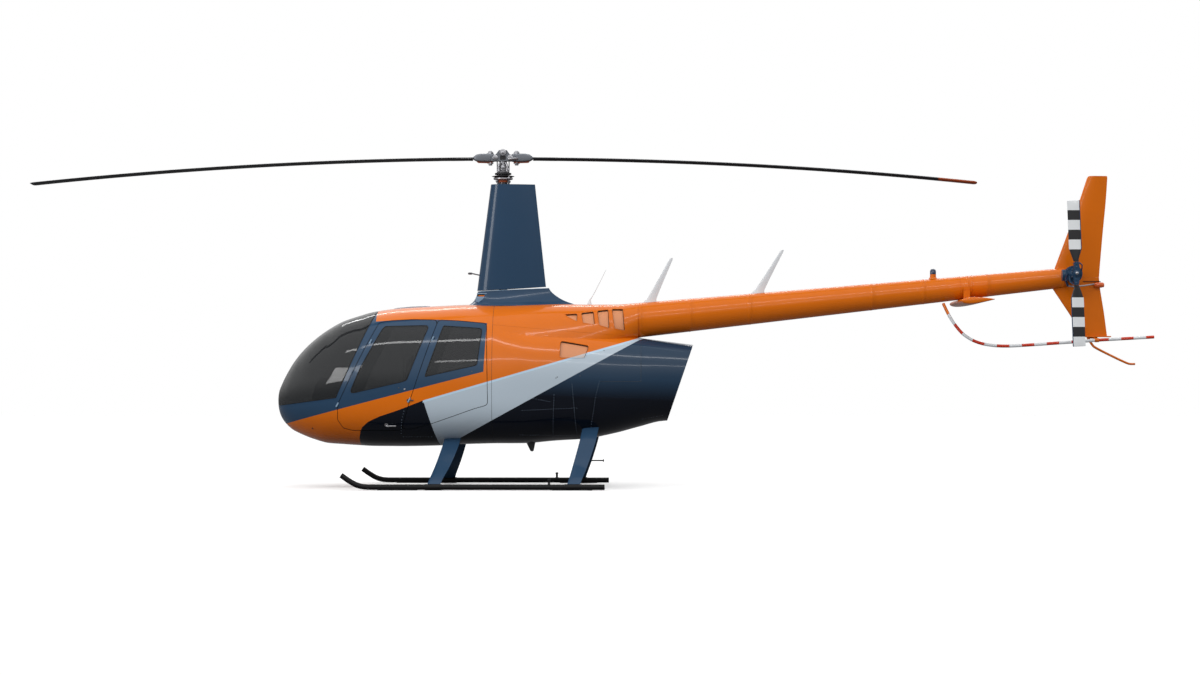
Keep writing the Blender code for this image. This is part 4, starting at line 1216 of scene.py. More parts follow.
RIVET_LINES = [
    ([(0.550, 0.951), (0.531, 0.470)], "navy"), ([(0.732, 1.060), (0.775, 0.560)], "navy"),
    ([(1.010, 1.090), (0.975, 0.951), (0.912, 0.570)], "navy"), ([(0.230, 0.795), (0.780, 0.818)], "navy"),
    ([(0.290, 0.925), (0.500, 0.885)], "navy"), ([(1.040, 1.088), (1.425, 1.088)], "navy"),
    ([(1.432, 1.440), (1.433, 1.100)], "navy"), ([(0.200, 0.543), (0.850, 0.530)], "navy"),
    ([(0.541, 1.600), (0.548, 1.420)], "orange"), ([(0.565, 1.546), (0.900, 1.484), (1.120, 1.406)], "orange"),
    ([(1.440, 1.450), (1.860, 1.395)], "navy"), ([(1.450, 0.700), (1.650, 0.740)], "navy"),
]
CABIN_RIVETS = [
    ([(-0.966, 0.790), (-0.992, 0.698), (-1.004, 0.560)], "navy"), ([(-0.985, 0.525), (-0.700, 0.525)], "navy"),
    ([(-1.640, 0.560), (-1.200, 0.500)], "orange"), ([(-2.05, 0.740), (-1.72, 0.826)], "blue"),
    ([(-0.105, 1.640), (-0.098, 0.560)], "orange"),
]


def build_skin_details():
    groups = {"navy": [], "orange": [], "blue": []}
    for side in (-1, 1):
        for line, word in RIVET_LINES:
            groups[word] += rivets(cowl_hull, line, side)
        for line, word in CABIN_RIVETS:
            groups[word] += rivets(cabin_hull, line, side)
    for word, spots in groups.items():
        put(domes(spots, 0.0033), "rivets_" + word, "rivet_pale" if word == "navy" else "livery", angle=80)

    for side, word in ((-1, "left"), (1, "right")):
        seam(cowl_hull, [(1.016, 1.088), (1.433, 1.088)], side, name="cowl_seam_low_" + word)
        seam(cowl_hull, [(1.432, 1.47), (1.433, 1.088)], side, name="cowl_seam_aft_" + word)
        for kind, outline in (("front", FRONT_DOOR), ("rear", REAR_DOOR)):
            # Black rubber seal just inside each door gap: partly a real seal and partly painted shade, standing for the
            # dark inside the gap.
            edge = rounded(grown(outline, 0.003), 0.05)
            spots = along_skin(cabin_hull, grown(edge, 0.004), side, 0.02, -0.017)
            put(tube(spots, 0.008, 8, closed=True), "door_seal_" + kind + "_" + word, "rubber", angle=60)
        for kind, window in (("front", FRONT_WINDOW), ("rear", REAR_WINDOW)):
            spots = along_skin(cabin_hull, grown(rounded(window, 0.035), -0.003), side, 0.015, -0.0005)
            put(tube(spots, 0.0042, 8, closed=True), "window_seal_" + kind + "_" + word, "rubber",
                kind + "_" + word + "_door", angle=60)
        edge = [(-2.300, 0.8455), (-2.24, 0.8505), (-1.672, 0.925), (-1.285, 1.800)]
        seam(cabin_hull, edge, side, 0.005, "rubber", name="windshield_seal_" + word)

        for i, outline in enumerate(GRILLES):
            screen_panel(roof_hull, outline, side, "grille_screen_%d_%s" % (i, word))
            rim(roof_hull, rounded(outline, 0.02), side, "grille_rim_%d_%s" % (i, word))
        screen_panel(cowl_hull, INTAKE, side, "intake_screen_" + word)
        rim(cowl_hull, rounded(INTAKE, 0.03), side, "intake_rim_" + word)
        spots = []
        for x, z in ((0.212, 1.627), (0.523, 1.579), (1.055, 1.405), (0.570, 1.124), (0.583, 1.134), (0.813, 1.144)):
            spots += rivets(cowl_hull, [(x, z), (x + 0.001, z)], side, 1.0)[:1]
        put(domes(spots, 0.0065, 0.25, 10), "cowl_screws_" + word, "dark_steel", angle=60)
    rings = []
    for x, half, rise in ((-1.140, 0.02, 0.000), (-1.130, 0.050, 0.004), (-1.090, 0.075, 0.008),
                          (-0.950, 0.082, 0.010), (-0.800, 0.075, 0.008), (-0.762, 0.050, 0.004), (-0.752, 0.02, 0.000)):
        top = float(cabin_hull.at(np.array([x]))[0][3])
        rings.append([(x, y * half, top - 0.008 + (rise + 0.008) * (1 - y ** 4)) for y in np.linspace(-1, 1, 15)]
                     + [(x, -y * half, top - 0.012) for y in np.linspace(-1, 1, 15)])
    put(grid_mesh("vent", rings), "roof_vent", "blue", angle=50)
    ring = cabin_hull.rings([SEAM_X + 0.0004], 0.0006)[0]
    put(tube(ring, 0.0018, 6, closed=True), "cabin_seam", "rubber", angle=60)


def screen_panel(hull, outline, side, name):
    piece = hull_solid(hull, 0.016)
    boolean(piece, hull_solid(hull, 0.0185, 0.03, 0.03), "DIFFERENCE")
    boolean(piece, prism(grown(outline, 0.008), *sorted((side * 0.02, side * 0.9))), "INTERSECT")
    put(piece, name, "screen", hulls=[hull])


def rim(hull, outline, side, name):
    spots = along_skin(hull, outline, side, 0.012, -0.0015)
    put(tube(spots, 0.0045, 8, closed=True), name, "livery", angle=60)
    spots = along_skin(hull, grown(outline, -0.004), side, 0.012, -0.012)
    put(tube(spots, 0.0042, 8, closed=True), name + "_shadow_gap", "rubber", angle=60)


def on_skin(x, z, side, lift=0.0, hull=None):
    """A point of the skin and its outward direction."""
    hull = hull or cabin_hull
    spot = np.array([[x, float(hull.side_y(x, z)), z]])
    out = hull.normal(spot)[0]
    spot = spot[0] + out * lift
    return Vector((spot[0], spot[1] * side, spot[2])), Vector((out[0], out[1] * side, out[2]))


def build_door_fittings():
    for side, word in ((-1, "left"), (1, "right")):
        front, rear = "front_" + word + "_door", "rear_" + word + "_door"
        a, out = on_skin(-1.150, 0.647, side, 0.004)
        b, _ = on_skin(-1.055, 0.647, side, 0.004)
        bar = tube([a, a + out * 0.016, a.lerp(b, 0.12) + out * 0.021, b + out * 0.020, b + out * 0.012], 0.0065, 12,
                   0.0085)
        plate = lathe([(-0.004, 0.020), (0.001, 0.020), (0.003, 0.016)], a, out, 24)
        put(merged("handle", [bar, plate]), "door_handle_front_" + word, "steel", front, angle=45)
        a, out = on_skin(-0.925, 0.898, side, 0.001)
        b, _ = on_skin(-0.868, 0.898, side, 0.001)
        lever = tube([a, a.lerp(b, 0.5) + out * 0.006, b + out * 0.004], 0.006, 10)
        pan = lathe([(-0.003, 0.014), (0.0015, 0.014), (0.0015, 0.011)], a, out, 20)
        put(merged("latch", [lever, pan]), "door_latch_rear_" + word, "dark_steel", rear, angle=45)
        spot, out = on_skin(-0.960, 1.010, side, 0.0)
        put(lathe([(-0.002, 0.009), (0.002, 0.009), (0.003, 0.007), (0.0022, 0.004)], spot, out, 20),
            "door_lock_" + word, "steel", rear, angle=45)
        for i, (x, z, body) in enumerate(((-1.318, 1.490, front), (-1.652, 0.852, front),
                                          (-0.682, 1.521, rear), (-0.914, 0.898, rear))):
            spot, out = on_skin(x, z, side, 0.006)
            along = Vector((0.46, 0, 0.89))
            knuckle = lathe([(-0.024, 0.007), (-0.023, 0.0085), (0.023, 0.0085), (0.024, 0.007)], spot, along, 16)
            pin = lathe([(-0.028, 0.003), (0.028, 0.003)], spot, along, 10)
            put(merged("hinge", [knuckle, pin]), "door_hinge_%d_%s" % (i, word), "pearl", body, angle=45)
        for x, z in ((-0.280, 1.190), (-1.020, 1.024)):
            spot, out = on_skin(x, z, side, 0.0)
            put(bolt(spot, out, 0.0045, 0.004), "door_stud_%d_%s" % (round(-x * 100), word), "dark_steel", rear,
                angle=40)


# Rotor head
def build_rotor_head():
    head = []
    cheek = [(-0.125, 3.372), (-0.125, 3.428), (-0.072, 3.440), (-0.040, 3.484), (0.040, 3.484), (0.072, 3.440),
             (0.125, 3.428), (0.125, 3.372)]
    for low, high in ((-0.066, -0.052), (0.052, 0.066)):
        head.append(prism(rounded(cheek, 0.012, 3), low, high))
    head.append(box((-0.115, -0.050, 3.372), (0.115, 0.050, 3.432), 0.006))
    put(merged("hub", head), "rotor_hub_plates", "silver", "main_rotor", ["rotor_hub"], angle=40)

    bolts = [lathe([(-0.090, 0.024), (-0.088, 0.034), (-0.074, 0.036), (-0.072, 0.026), (0.072, 0.026),
                    (0.074, 0.036), (0.088, 0.034), (0.090, 0.024)], (0, 0, 3.458), (0, 1, 0), 32),
             lathe([(-0.098, 0.012), (-0.096, 0.016), (0.096, 0.016), (0.098, 0.012)], (0, 0, 3.458), (0, 1, 0), 6)]
    for x in (-0.078, 0.078):
        bolts.append(lathe([(-0.084, 0.020), (-0.082, 0.027), (-0.070, 0.028), (0.070, 0.028), (0.082, 0.027),
                            (0.084, 0.020)], (x, 0, 3.406), (0, 1, 0), 28))
        bolts.append(lathe([(-0.092, 0.010), (-0.090, 0.013), (0.090, 0.013), (0.092, 0.010)], (x, 0, 3.406),
                           (0, 1, 0), 6))
    for x in (-0.132, 0.140):
        bolts.append(lathe([(0.0, 0.014), (0.002, 0.019), (0.016, 0.020), (0.020, 0.016), (0.128, 0.016),
                            (0.132, 0.024), (0.144, 0.024), (0.146, 0.014), (0.152, 0.012)], (x, 0, 3.328),
                           (0, 0, 1), 24))
        for z in (3.345, 3.447):
            bolts.append(lathe([(0.0, 0.030), (0.002, 0.033), (0.014, 0.033), (0.016, 0.030)], (x, 0, z),
                               (0, 0, 1), 6))
    put(merged("bolts", bolts), "rotor_hub_bolts", "steel", "main_rotor", angle=35)
    # Thin black plates on the cheeks' outer faces: painted shade standing in for recesses.
    dark = [prism(rounded([(-0.030, 3.384), (-0.030, 3.422), (0.030, 3.422), (0.030, 3.384)], 0.008, 3), y, y + 0.004)
            for y in (-0.070, 0.066)]
    put(merged("recess", dark), "rotor_hub_recess_shade", "black", "main_rotor", angle=40)

    for side, word in ((-1, "front"), (1, "rear")):
        rings = []
        for x, half, low, high in ((0.088, 0.030, 3.376, 3.436), (0.096, 0.044, 3.366, 3.446),
                                   (0.150, 0.052, 3.362, 3.450), (0.235, 0.050, 3.364, 3.448),
                                   (0.275, 0.046, 3.370, 3.440), (0.300, 0.040, 3.382, 3.424),
                                   (0.3115, 0.030, 3.392, 3.412)):
            ring = rounded([(-half, low), (half, low), (half, high), (-half, high)], 0.016, 5)
            rings.append([(side * x, y, z) for y, z in ring])
        grip = grid_mesh("grip", rings)
        put(grip, "blade_grip_" + word, "silver", "main_rotor", angle=45)
        under = [(side * 0.11, 3.3615), (side * 0.11, 3.352), (side * 0.26, 3.356), (side * 0.275, 3.368)]
        put(prism(rounded(under, 0.003, 3), -0.030, 0.030), "blade_grip_keel_" + word, "brown", "main_rotor", angle=40)
        horn_y = -side * 0.105
        arm = tube([(side * 0.150, horn_y * 0.45, 3.398), (side * 0.115, horn_y * 0.9, 3.394),
                    (side * 0.068, horn_y, 3.388)], 0.013, 12, 0.010)
        link = tube([(side * 0.068, horn_y, 3.388), (side * 0.064, horn_y * 0.9, 3.190)], 0.0055, 12)
        ends = [lathe([(-0.010, 0.008), (-0.008, 0.012), (0.008, 0.012), (0.010, 0.008)],
                      (side * 0.068, horn_y, 3.388), (0, 1, 0), 16),
                lathe([(-0.010, 0.008), (-0.008, 0.012), (0.008, 0.012), (0.010, 0.008)],
                      (side * 0.064, horn_y * 0.9, 3.192), (0, 1, 0), 16),
                lathe([(0.0, 0.0075), (0.03, 0.0075)], (side * 0.066, horn_y * 0.94, 3.27), (0, 0, 1), 6)]
        put(merged("horn", [arm] + ends), "pitch_horn_" + word, "steel", "main_rotor", angle=40)
        put(link, "pitch_link_" + word, "silver" if side < 0 else "black", "main_rotor", angle=50)

    put(lathe([(0.0, 0.042), (1.24, 0.042), (1.245, 0.050), (1.29, 0.052), (1.30, 0.060), (1.315, 0.060),
               (1.325, 0.046), (1.378, 0.046), (1.380, 0.040), (1.424, 0.040)], (0, 0, 1.95), (0, 0, 1), 40),
        "mast_tube", "steel", "main_rotor", ["rotor_shaft"], angle=40)
    put(lathe([(0.0, 0.046), (0.002, 0.082), (0.006, 0.086), (0.018, 0.086), (0.021, 0.082), (0.022, 0.046)],
              (0, 0, 3.229), (0, 0, 1), 48), "swash_cover", "black", "main_rotor", angle=40)
    put(lathe([(0.0, 0.05), (0.001, 0.095), (0.008, 0.117), (0.010, 0.118), (0.016, 0.090), (0.017, 0.05)],
              (0, 0, 3.205), (0, 0, 1), 56), "swash_upper_plate", "black", "main_rotor", angle=40)
    yokes = [tube([(s * 0.030, -0.052, 3.355), (s * 0.048, -0.058, 3.31), (s * 0.040, -0.062, 3.262)], 0.010, 12)
             for s in (-1, 1)]
    yokes += [tube([(s * 0.030, 0.052, 3.355), (s * 0.048, 0.058, 3.31), (s * 0.040, 0.062, 3.262)], 0.010, 12)
              for s in (-1, 1)]
    yokes.append(lathe([(-0.068, 0.012), (-0.066, 0.018), (0.066, 0.018), (0.068, 0.012)], (0, 0, 3.305),
                       (0, 1, 0), 20))
    put(merged("yoke", yokes), "mast_yoke", "steel", "main_rotor", angle=45)

    fixed = [lathe([(0.0, 0.060), (0.002, 0.096), (0.006, 0.100), (0.019, 0.100), (0.023, 0.094), (0.024, 0.060)],
                   (0, 0, 3.178), (0, 0, 1), 48)]
    for k in range(4):
        a = math.pi / 4 + k * math.pi / 2
        x, y = 0.078 * math.cos(a), 0.062 * math.sin(a)
        fixed.append(tube([(x, y, 3.180), (x * 1.02, y * 1.02, 3.150), (x * 0.9, y * 0.9, 3.118)], 0.010, 12))
        fixed.append(bolt((x * 1.12, y * 1.12, 3.163), (math.cos(a), math.sin(a), 0), 0.011, 0.010))
    put(merged("swash", fixed), "swash_fixed_ring", "steel", angle=40)
    put(lathe([(0.0, 0.050), (0.002, 0.066), (0.022, 0.066), (0.024, 0.050)], (0, 0, 3.150), (0, 0, 1), 36),
        "swash_boot", "brown", angle=40)
    put(lathe([(0.0, 0.052), (0.12, 0.052), (0.125, 0.047)], (0, 0, 3.02), (0, 0, 1), 36), "mast_sleeve",
        "dark_steel", angle=40)


# Tail fittings
def build_tail_details():
    hx, hy, hz = TAIL_HUB
    parts = [lathe([(-0.055, 0.024), (-0.052, 0.030), (0.010, 0.032), (0.040, 0.026), (0.062, 0.024)], TAIL_HUB,
                   (0, 1, 0), 28)]
    strap = [(-0.022, -0.118), (-0.030, -0.060), (-0.034, 0.0), (-0.030, 0.060), (-0.022, 0.118), (0.022, 0.118),
             (0.030, 0.060), (0.034, 0.0), (0.030, -0.060), (0.022, -0.118)]
    for low, high in ((-0.030, -0.018), (0.018, 0.030)):
        parts.append(prism([(hx + x, hz + z) for x, z in rounded(strap, 0.010, 3)], hy + low, hy + high))
    for s in (-1, 1):
        for z in (0.062, 0.100):
            parts.append(lathe([(-0.034, 0.007), (-0.032, 0.010), (0.032, 0.010), (0.034, 0.007)],
                               (hx, hy, hz + s * z), (0, 1, 0), 14))
        parts.append(tube([(hx + s * 0.028, hy + 0.004, hz + s * 0.112), (hx + s * 0.062, hy + 0.012, hz + s * 0.085),
                           (hx + s * 0.060, hy + 0.050, hz + s * 0.030)], 0.0075, 10, 0.006))
    put(merged("tail_hub", parts), "tail_rotor_hub_straps", "blue", "tail_rotor", ["tail_rotor_hub"],
        angle=40)
    put(merged("nut", [lathe([(-0.066, 0.014), (-0.064, 0.018), (-0.054, 0.018), (-0.052, 0.020)], TAIL_HUB,
                             (0, 1, 0), 6),
                       lathe([(-0.074, 0.006), (-0.072, 0.009), (-0.060, 0.009)], TAIL_HUB, (0, 1, 0), 20)]),
        "tail_rotor_nut", "steel", "tail_rotor", angle=40)

    spider = []
    for k in range(4):
        a = math.pi / 4 + k * math.pi / 2
        spider.append(tube([(hx, hy + 0.062, hz), (hx + 0.055 * math.cos(a), hy + 0.058, hz + 0.055 * math.sin(a))],
                           0.010, 10, 0.007))
    spider.append(lathe([(0.048, 0.020), (0.050, 0.030), (0.066, 0.030), (0.068, 0.020)], TAIL_HUB, (0, 1, 0), 24))
    put(merged("spider", spider), "tail_pitch_spider", "lens", "tail_rotor", angle=40)

    case = [lathe([(-0.350, 0.036), (-0.345, 0.044), (-0.285, 0.047), (-0.262, 0.060), (-0.235, 0.074),
                   (-0.150, 0.080), (-0.070, 0.078), (-0.032, 0.066)], (hx, 0, hz), (0, 1, 0), 40)]
    for y in (-0.250, -0.200, -0.130):
        case.append(lathe([(-0.004, 0.078), (-0.003, 0.086), (0.003, 0.086), (0.004, 0.078)], (hx, y, hz), (0, 1, 0),
                          40))
    case.append(lathe([(0.0, 0.058), (0.05, 0.062), (0.085, 0.060), (0.09, 0.05)], (hx - 0.115, -0.16, hz - 0.01),
                      (1, 0, 0), 28))
    for k in range(8):
        a = 2 * math.pi * k / 8
        case.append(bolt((hx + 0.066 * math.cos(a), -0.262, hz + 0.066 * math.sin(a)), (0, -1, 0), 0.006, 0.006))
    case.append(lathe([(0.0, 0.016), (0.03, 0.016), (0.032, 0.020), (0.045, 0.020), (0.048, 0.012)],
                      (hx + 0.02, -0.17, hz + 0.07), (0, 0, 1), 6))
    piece = merged("gearbox", case)
    put(piece, "tail_gearbox_case", "blue", nodes=["tail_gearbox"], angle=38)
    rod = tube([(5.800, -0.300, 2.066), (5.86, -0.302, 2.058), (5.98, -0.20, 2.072), (6.10, -0.045, 2.092)], 0.0085, 12)
    put(rod, "tail_control_rod", "steel", angle=50)
    crank = tube([(5.800, -0.300, 2.066), (5.775, -0.330, 2.12), (5.790, -0.345, 2.185)], 0.012, 12, 0.009)
    put(merged("crank", [crank, bolt((5.775, -0.342, 2.12), (0, -1, 0), 0.009, 0.008)]), "tail_bell_crank", "lens",
        angle=45)

    lamp = [lathe([(0.0, 0.010), (0.012, 0.022), (0.030, 0.0275), (0.060, 0.0285), (0.085, 0.0275), (0.098, 0.024),
                   (0.106, 0.014), (0.108, 0.002)], (6.100, side * 0.026, 2.084), (1, 0, 0), 28) for side in (-1, 1)]
    lamp.append(lathe([(0.0, 0.020), (0.004, 0.023), (0.030, 0.023), (0.034, 0.018)], (6.176, 0, 2.084), (1, 0, 0), 24))
    put(merged("lamp", lamp), "tail_lamp_body", "lamp", nodes=["tail_light"], angle=50)
    put(merged("plate", [box((5.985, -0.055, 1.545), (6.275, 0.055, 1.5568), 0.003),
                         box((6.03, -0.012, 1.530), (6.14, 0.012, 1.547), 0.003)]),
        "lower_fin_plate", "orange", angle=40)
    clamp = [tube([(6.10, -0.25, 1.511), (6.10, -0.12, 1.527), (6.10, 0.0, 1.5405)], 0.010, 14),
             lathe([(-0.022, 0.018), (-0.020, 0.021), (0.020, 0.021), (0.022, 0.018)], (6.10, -0.25, 1.511),
                   (1, 0, 0.03), 24)]
    put(merged("stay", clamp), "guard_stay", "orange", angle=45)
    skid = smooth_path([(6.045, 0, 1.535), (6.085, 0, 1.470), (6.126, 0, 1.434), (6.285, 0, 1.352),
                        (6.420, 0, 1.288), (6.470, 0, 1.270), (6.527, 0, 1.268)], 6)
    put(tube(skid, 0.013, 16, 0.011), "tail_skid_rod", "orange", nodes=["tail_skid"], angle=50)

    for s in (-1, 1):
        strap = [(4.749, 2.060), (4.749, 1.925), (4.816, 1.925), (4.816, 2.060)]
        plate = prism(rounded(strap, 0.008, 3), *sorted((s * 0.132, s * 0.140)))
        bolts = [bolt((x, s * 0.141, z), (0, s, 0), 0.006, 0.005) for x in (4.765, 4.800) for z in (2.035, 1.955)]
        put(merged("strap", [plate] + bolts), "stabilizer_strap_%s" % ("left" if s < 0 else "right"), "orange",
            angle=40)
    z, radius = boom_at(4.448)
    put(lathe([(0.0, 0.044), (0.012, 0.042), (0.020, 0.032), (0.050, 0.031)], (4.448, 0, z + radius - 0.004),
              (0, 0, 1), 32), "beacon_base", "orange", nodes=["beacon"], angle=45)
    put(lathe([(0.0, 0.031), (0.035, 0.031), (0.048, 0.026), (0.055, 0.015), (0.057, 0.002)],
              (4.448, 0, z + radius + 0.046), (0, 0, 1), 32), "beacon_lens", "lens", angle=50)
    clips = []
    for x in (4.72, 4.845):
        zc, rc = boom_at(x)
        clips.append(tube(ring_at(x, rc + 0.001, zc, 40), 0.003, 8, closed=True))
    put(merged("clips", clips), "stabilizer_bands", "orange", angle=60)
    spots = []
    for s in (-1, 1):
        for k in range(38):
            z = 1.62 + 1.52 * k / 37
            if 2.02 < z < 2.31:
                continue
            for share in (0.42, 0.80):
                lead = 5.829 + 0.3697 * (z - 2.60) if z > 2.2 else 5.842 - 0.664 * (z - 1.80)
                trail = 6.195 + 0.099 * (z - 2.60) if z > 2.2 else 6.208 - 0.162 * (z - 1.80)
                half = 0.0225 * (1.0 if share < 0.5 else 0.50)
                spots.append((Vector((lead + share * (trail - lead), s * half * 0.985, z)), Vector((0, s, 0))))
    put(domes(spots, 0.0026), "fin_rivets", "orange", angle=80)
    joint = [box((5.99, -0.0235, 2.118), (6.175, 0.0235, 2.123), 0.001, 1)]
    put(merged("joint", joint), "fin_joint_line", "rubber", angle=40)


# Antennas and probe
def build_probes():
    base = lathe([(0.0, 0.026), (0.006, 0.024), (0.030, 0.014), (0.060, 0.007)], (0.896, 0, 1.882), (0.1, 0, 1), 24)
    rod = tube(smooth_path([(0.900, 0, 1.93), (0.935, 0, 1.985), (0.985, 0, 2.08), (1.067, 0, 2.243)], 6), 0.005, 10,
               0.0022)
    put(merged("whip", [base, rod]), "whip_antenna", "white", nodes=["antenna_whip"], angle=50)
    for word, low, high in (("front", (1.544, 1.932), (1.751, 2.367)), ("rear", (2.661, 2.024), (2.899, 2.449))):
        slope = (high[0] - low[0]) / (high[1] - low[1])
        z, radius = boom_at(low[0])
        rings = []
        for h, chord, half in ((z + radius - 0.03, 0.150, 0.022), (z + radius + 0.004, 0.135, 0.015),
                               (z + radius + 0.03, 0.100, 0.009), (low[1] + 0.10, 0.080, 0.007),
                               ((low[1] + high[1]) / 2 + 0.03, 0.058, 0.006), (high[1] - 0.02, 0.038, 0.005),
                               (high[1], 0.024, 0.003)):
            x = low[0] + slope * (h - low[1])
            rings.append([(x + a - 0.6 * chord, b, h) for a, b in foil(chord, 2 * half / chord, 14)])
        put(grid_mesh("blade", rings), "blade_antenna_" + word, "white", nodes=["antenna_blade_" + word],
            angle=50)
    rings = []
    for h, lead, trail, half in ((0.49, 0.215, 0.350, 0.016), (0.463, 0.235, 0.338, 0.014),
                                 (0.440, 0.250, 0.332, 0.012), (0.400, 0.268, 0.324, 0.010),
                                 (0.372, 0.282, 0.318, 0.008), (0.364, 0.292, 0.310, 0.004)):
        rings.append([(lead + a, b, h) for a, b in foil(trail - lead, 2 * half / (trail - lead), 12)])
    put(grid_mesh("belly", rings), "belly_blade", "grey", nodes=["belly_antenna"], angle=50)
    probe = tube(smooth_path([(-0.245, 0, 2.190), (-0.285, 0, 2.199), (-0.318, 0, 2.206), (-0.345, 0, 2.207)], 6),
                 0.0065, 14)
    tip = lathe([(0.0, 0.010), (0.004, 0.0115), (0.034, 0.0115), (0.042, 0.006)], (-0.322, 0, 2.207), (-1, 0, 0), 20)
    put(merged("pitot", [probe, tip]), "pitot_probe", "dark_steel", nodes=["pitot_tube"], angle=50)


# Landing gear fittings
def build_gear_details():
    for s, word in ((-1, "left"), (1, "right")):
        post = lathe([(0.0, 0.018), (0.004, 0.018), (0.006, 0.012), (0.040, 0.012), (0.044, 0.016),
                      (0.056, 0.016), (0.058, 0.010)], (0.519, s * SKID_Y, 0.056), (0, 0, 1), 20)
        put(post, "skid_post_" + word, "black", angle=45)
        cuffs = []
        for x in (-0.640, 0.760):
            cuffs.append(lathe([(-0.085, 0.0285), (-0.083, 0.0315), (0.083, 0.0315), (0.085, 0.0285)],
                               (x, s * SKID_Y, SKID_RADIUS + 0.004), (1, 0, 0), 28))
        put(merged("cuffs", cuffs), "skid_cuffs_" + word, "skid", angle=45)
        caps = lathe([(-0.002, 0.024), (0.0, 0.0285), (0.006, 0.0285), (0.010, 0.020)],
                     (1.066, s * SKID_Y, SKID_RADIUS + 0.004), (1, 0, 0), 28)
        put(caps, "skid_cap_" + word, "rubber", angle=45)
    rod = [tube([(0.80, 0.92, 0.245), (1.020, 0.92, 0.245)], 0.007, 12),
           lathe([(0.0, 0.010), (0.002, 0.013), (0.010, 0.013), (0.012, 0.010)], (1.016, 0.92, 0.245), (1, 0, 0), 18)]
    put(merged("rod", rod), "rear_leg_rod", "black", angle=45)


# Cabin interior
def cushion(size, centre, tilt, channels=(), rim=0.34, pull=0.035, steps=34):
    """Crowned pad with piping: width along Y, length, thickness; its sides pull in between the corners."""
    width, length, thick = size
    turn = Matrix.Translation(centre) @ Matrix.Rotation(tilt, 4, "Y")
    grid = np.linspace(-1, 1, steps)
    verts, faces = [], []

    def spot(u, v, level):
        x = u * (1 - pull * (1 - v * v) * abs(u) ** 3) * math.sqrt(1 - 0.14 * v ** 6)
        y = v * (1 - pull * (1 - u * u) * abs(v) ** 3) * math.sqrt(1 - 0.14 * u ** 6)
        crown = math.sqrt((1 - u ** 6) * (1 - v ** 6) + 1e-9)
        height = thick * 0.5 * (rim * crown ** 0.4 + (1 - rim) * crown * (1 - 0.18 * (u * u + v * v)))
        if level > 0:
            for along, place in channels:
                gap = (u if along == "x" else v) - place
                height -= thick * 0.13 * math.exp(-(gap / 0.045) ** 2) * crown
            height += thick * 0.02 * math.sin(9 * u + 4 * v) * crown
        z = height if level > 0 else -height * 0.8
        return turn @ Vector((x * length / 2, y * width / 2, z))

    for level in (1, -1):
        for u in grid:
            for v in grid:
                verts.append(spot(float(u), float(v), level))
    count = steps * steps
    for i in range(steps - 1):
        for j in range(steps - 1):
            a = i * steps + j
            faces.append((a, a + 1, a + steps + 1, a + steps))
            faces.append((count + a, count + a + steps, count + a + steps + 1, count + a + 1))
    pad = raw("pad", verts, faces)
    bm = bmesh.new()
    bm.from_mesh(pad.data)
    bmesh.ops.remove_doubles(bm, verts=bm.verts, dist=1e-5)
    bmesh.ops.recalc_face_normals(bm, faces=bm.faces)
    bm.to_mesh(pad.data)
    bm.free()
    edge = [(u, -1.0) for u in grid] + [(1.0, v) for v in grid[1:]] + [(u, 1.0) for u in grid[-2::-1]] \
        + [(-1.0, v) for v in grid[-2:0:-1]]
    piping = tube([(spot(u, v, 1) + spot(u, v, -1)) / 2 for u, v in edge], 0.005, 8, closed=True)
    return merged("cushion", [pad, piping])


def place_cushion(name, size, centre, tilt, channels=(), nodes=()):
    piece = put(cushion(size, centre, math.radians(tilt), channels), name, "leather", nodes=nodes,
                angle=60)


def webbing(points, width, name, across=(0, 1, 0)):
    """Flat belt strap through points."""
    across = Vector(across).normalized()
    rings = []
    pts = [Vector(p) for p in smooth_path(points, 6)]
    for i, point in enumerate(pts):
        along = (pts[min(i + 1, len(pts) - 1)] - pts[max(i - 1, 0)]).normalized()
        wide = (across - along * across.dot(along)).normalized()
        thin = along.cross(wide)
        rings.append([point + wide * (width / 2) + thin * 0.0012, point - wide * (width / 2) + thin * 0.0012,
                      point - wide * (width / 2) - thin * 0.0012, point + wide * (width / 2) - thin * 0.0012])
    put(grid_mesh("belt", rings), name, "webbing", angle=40)


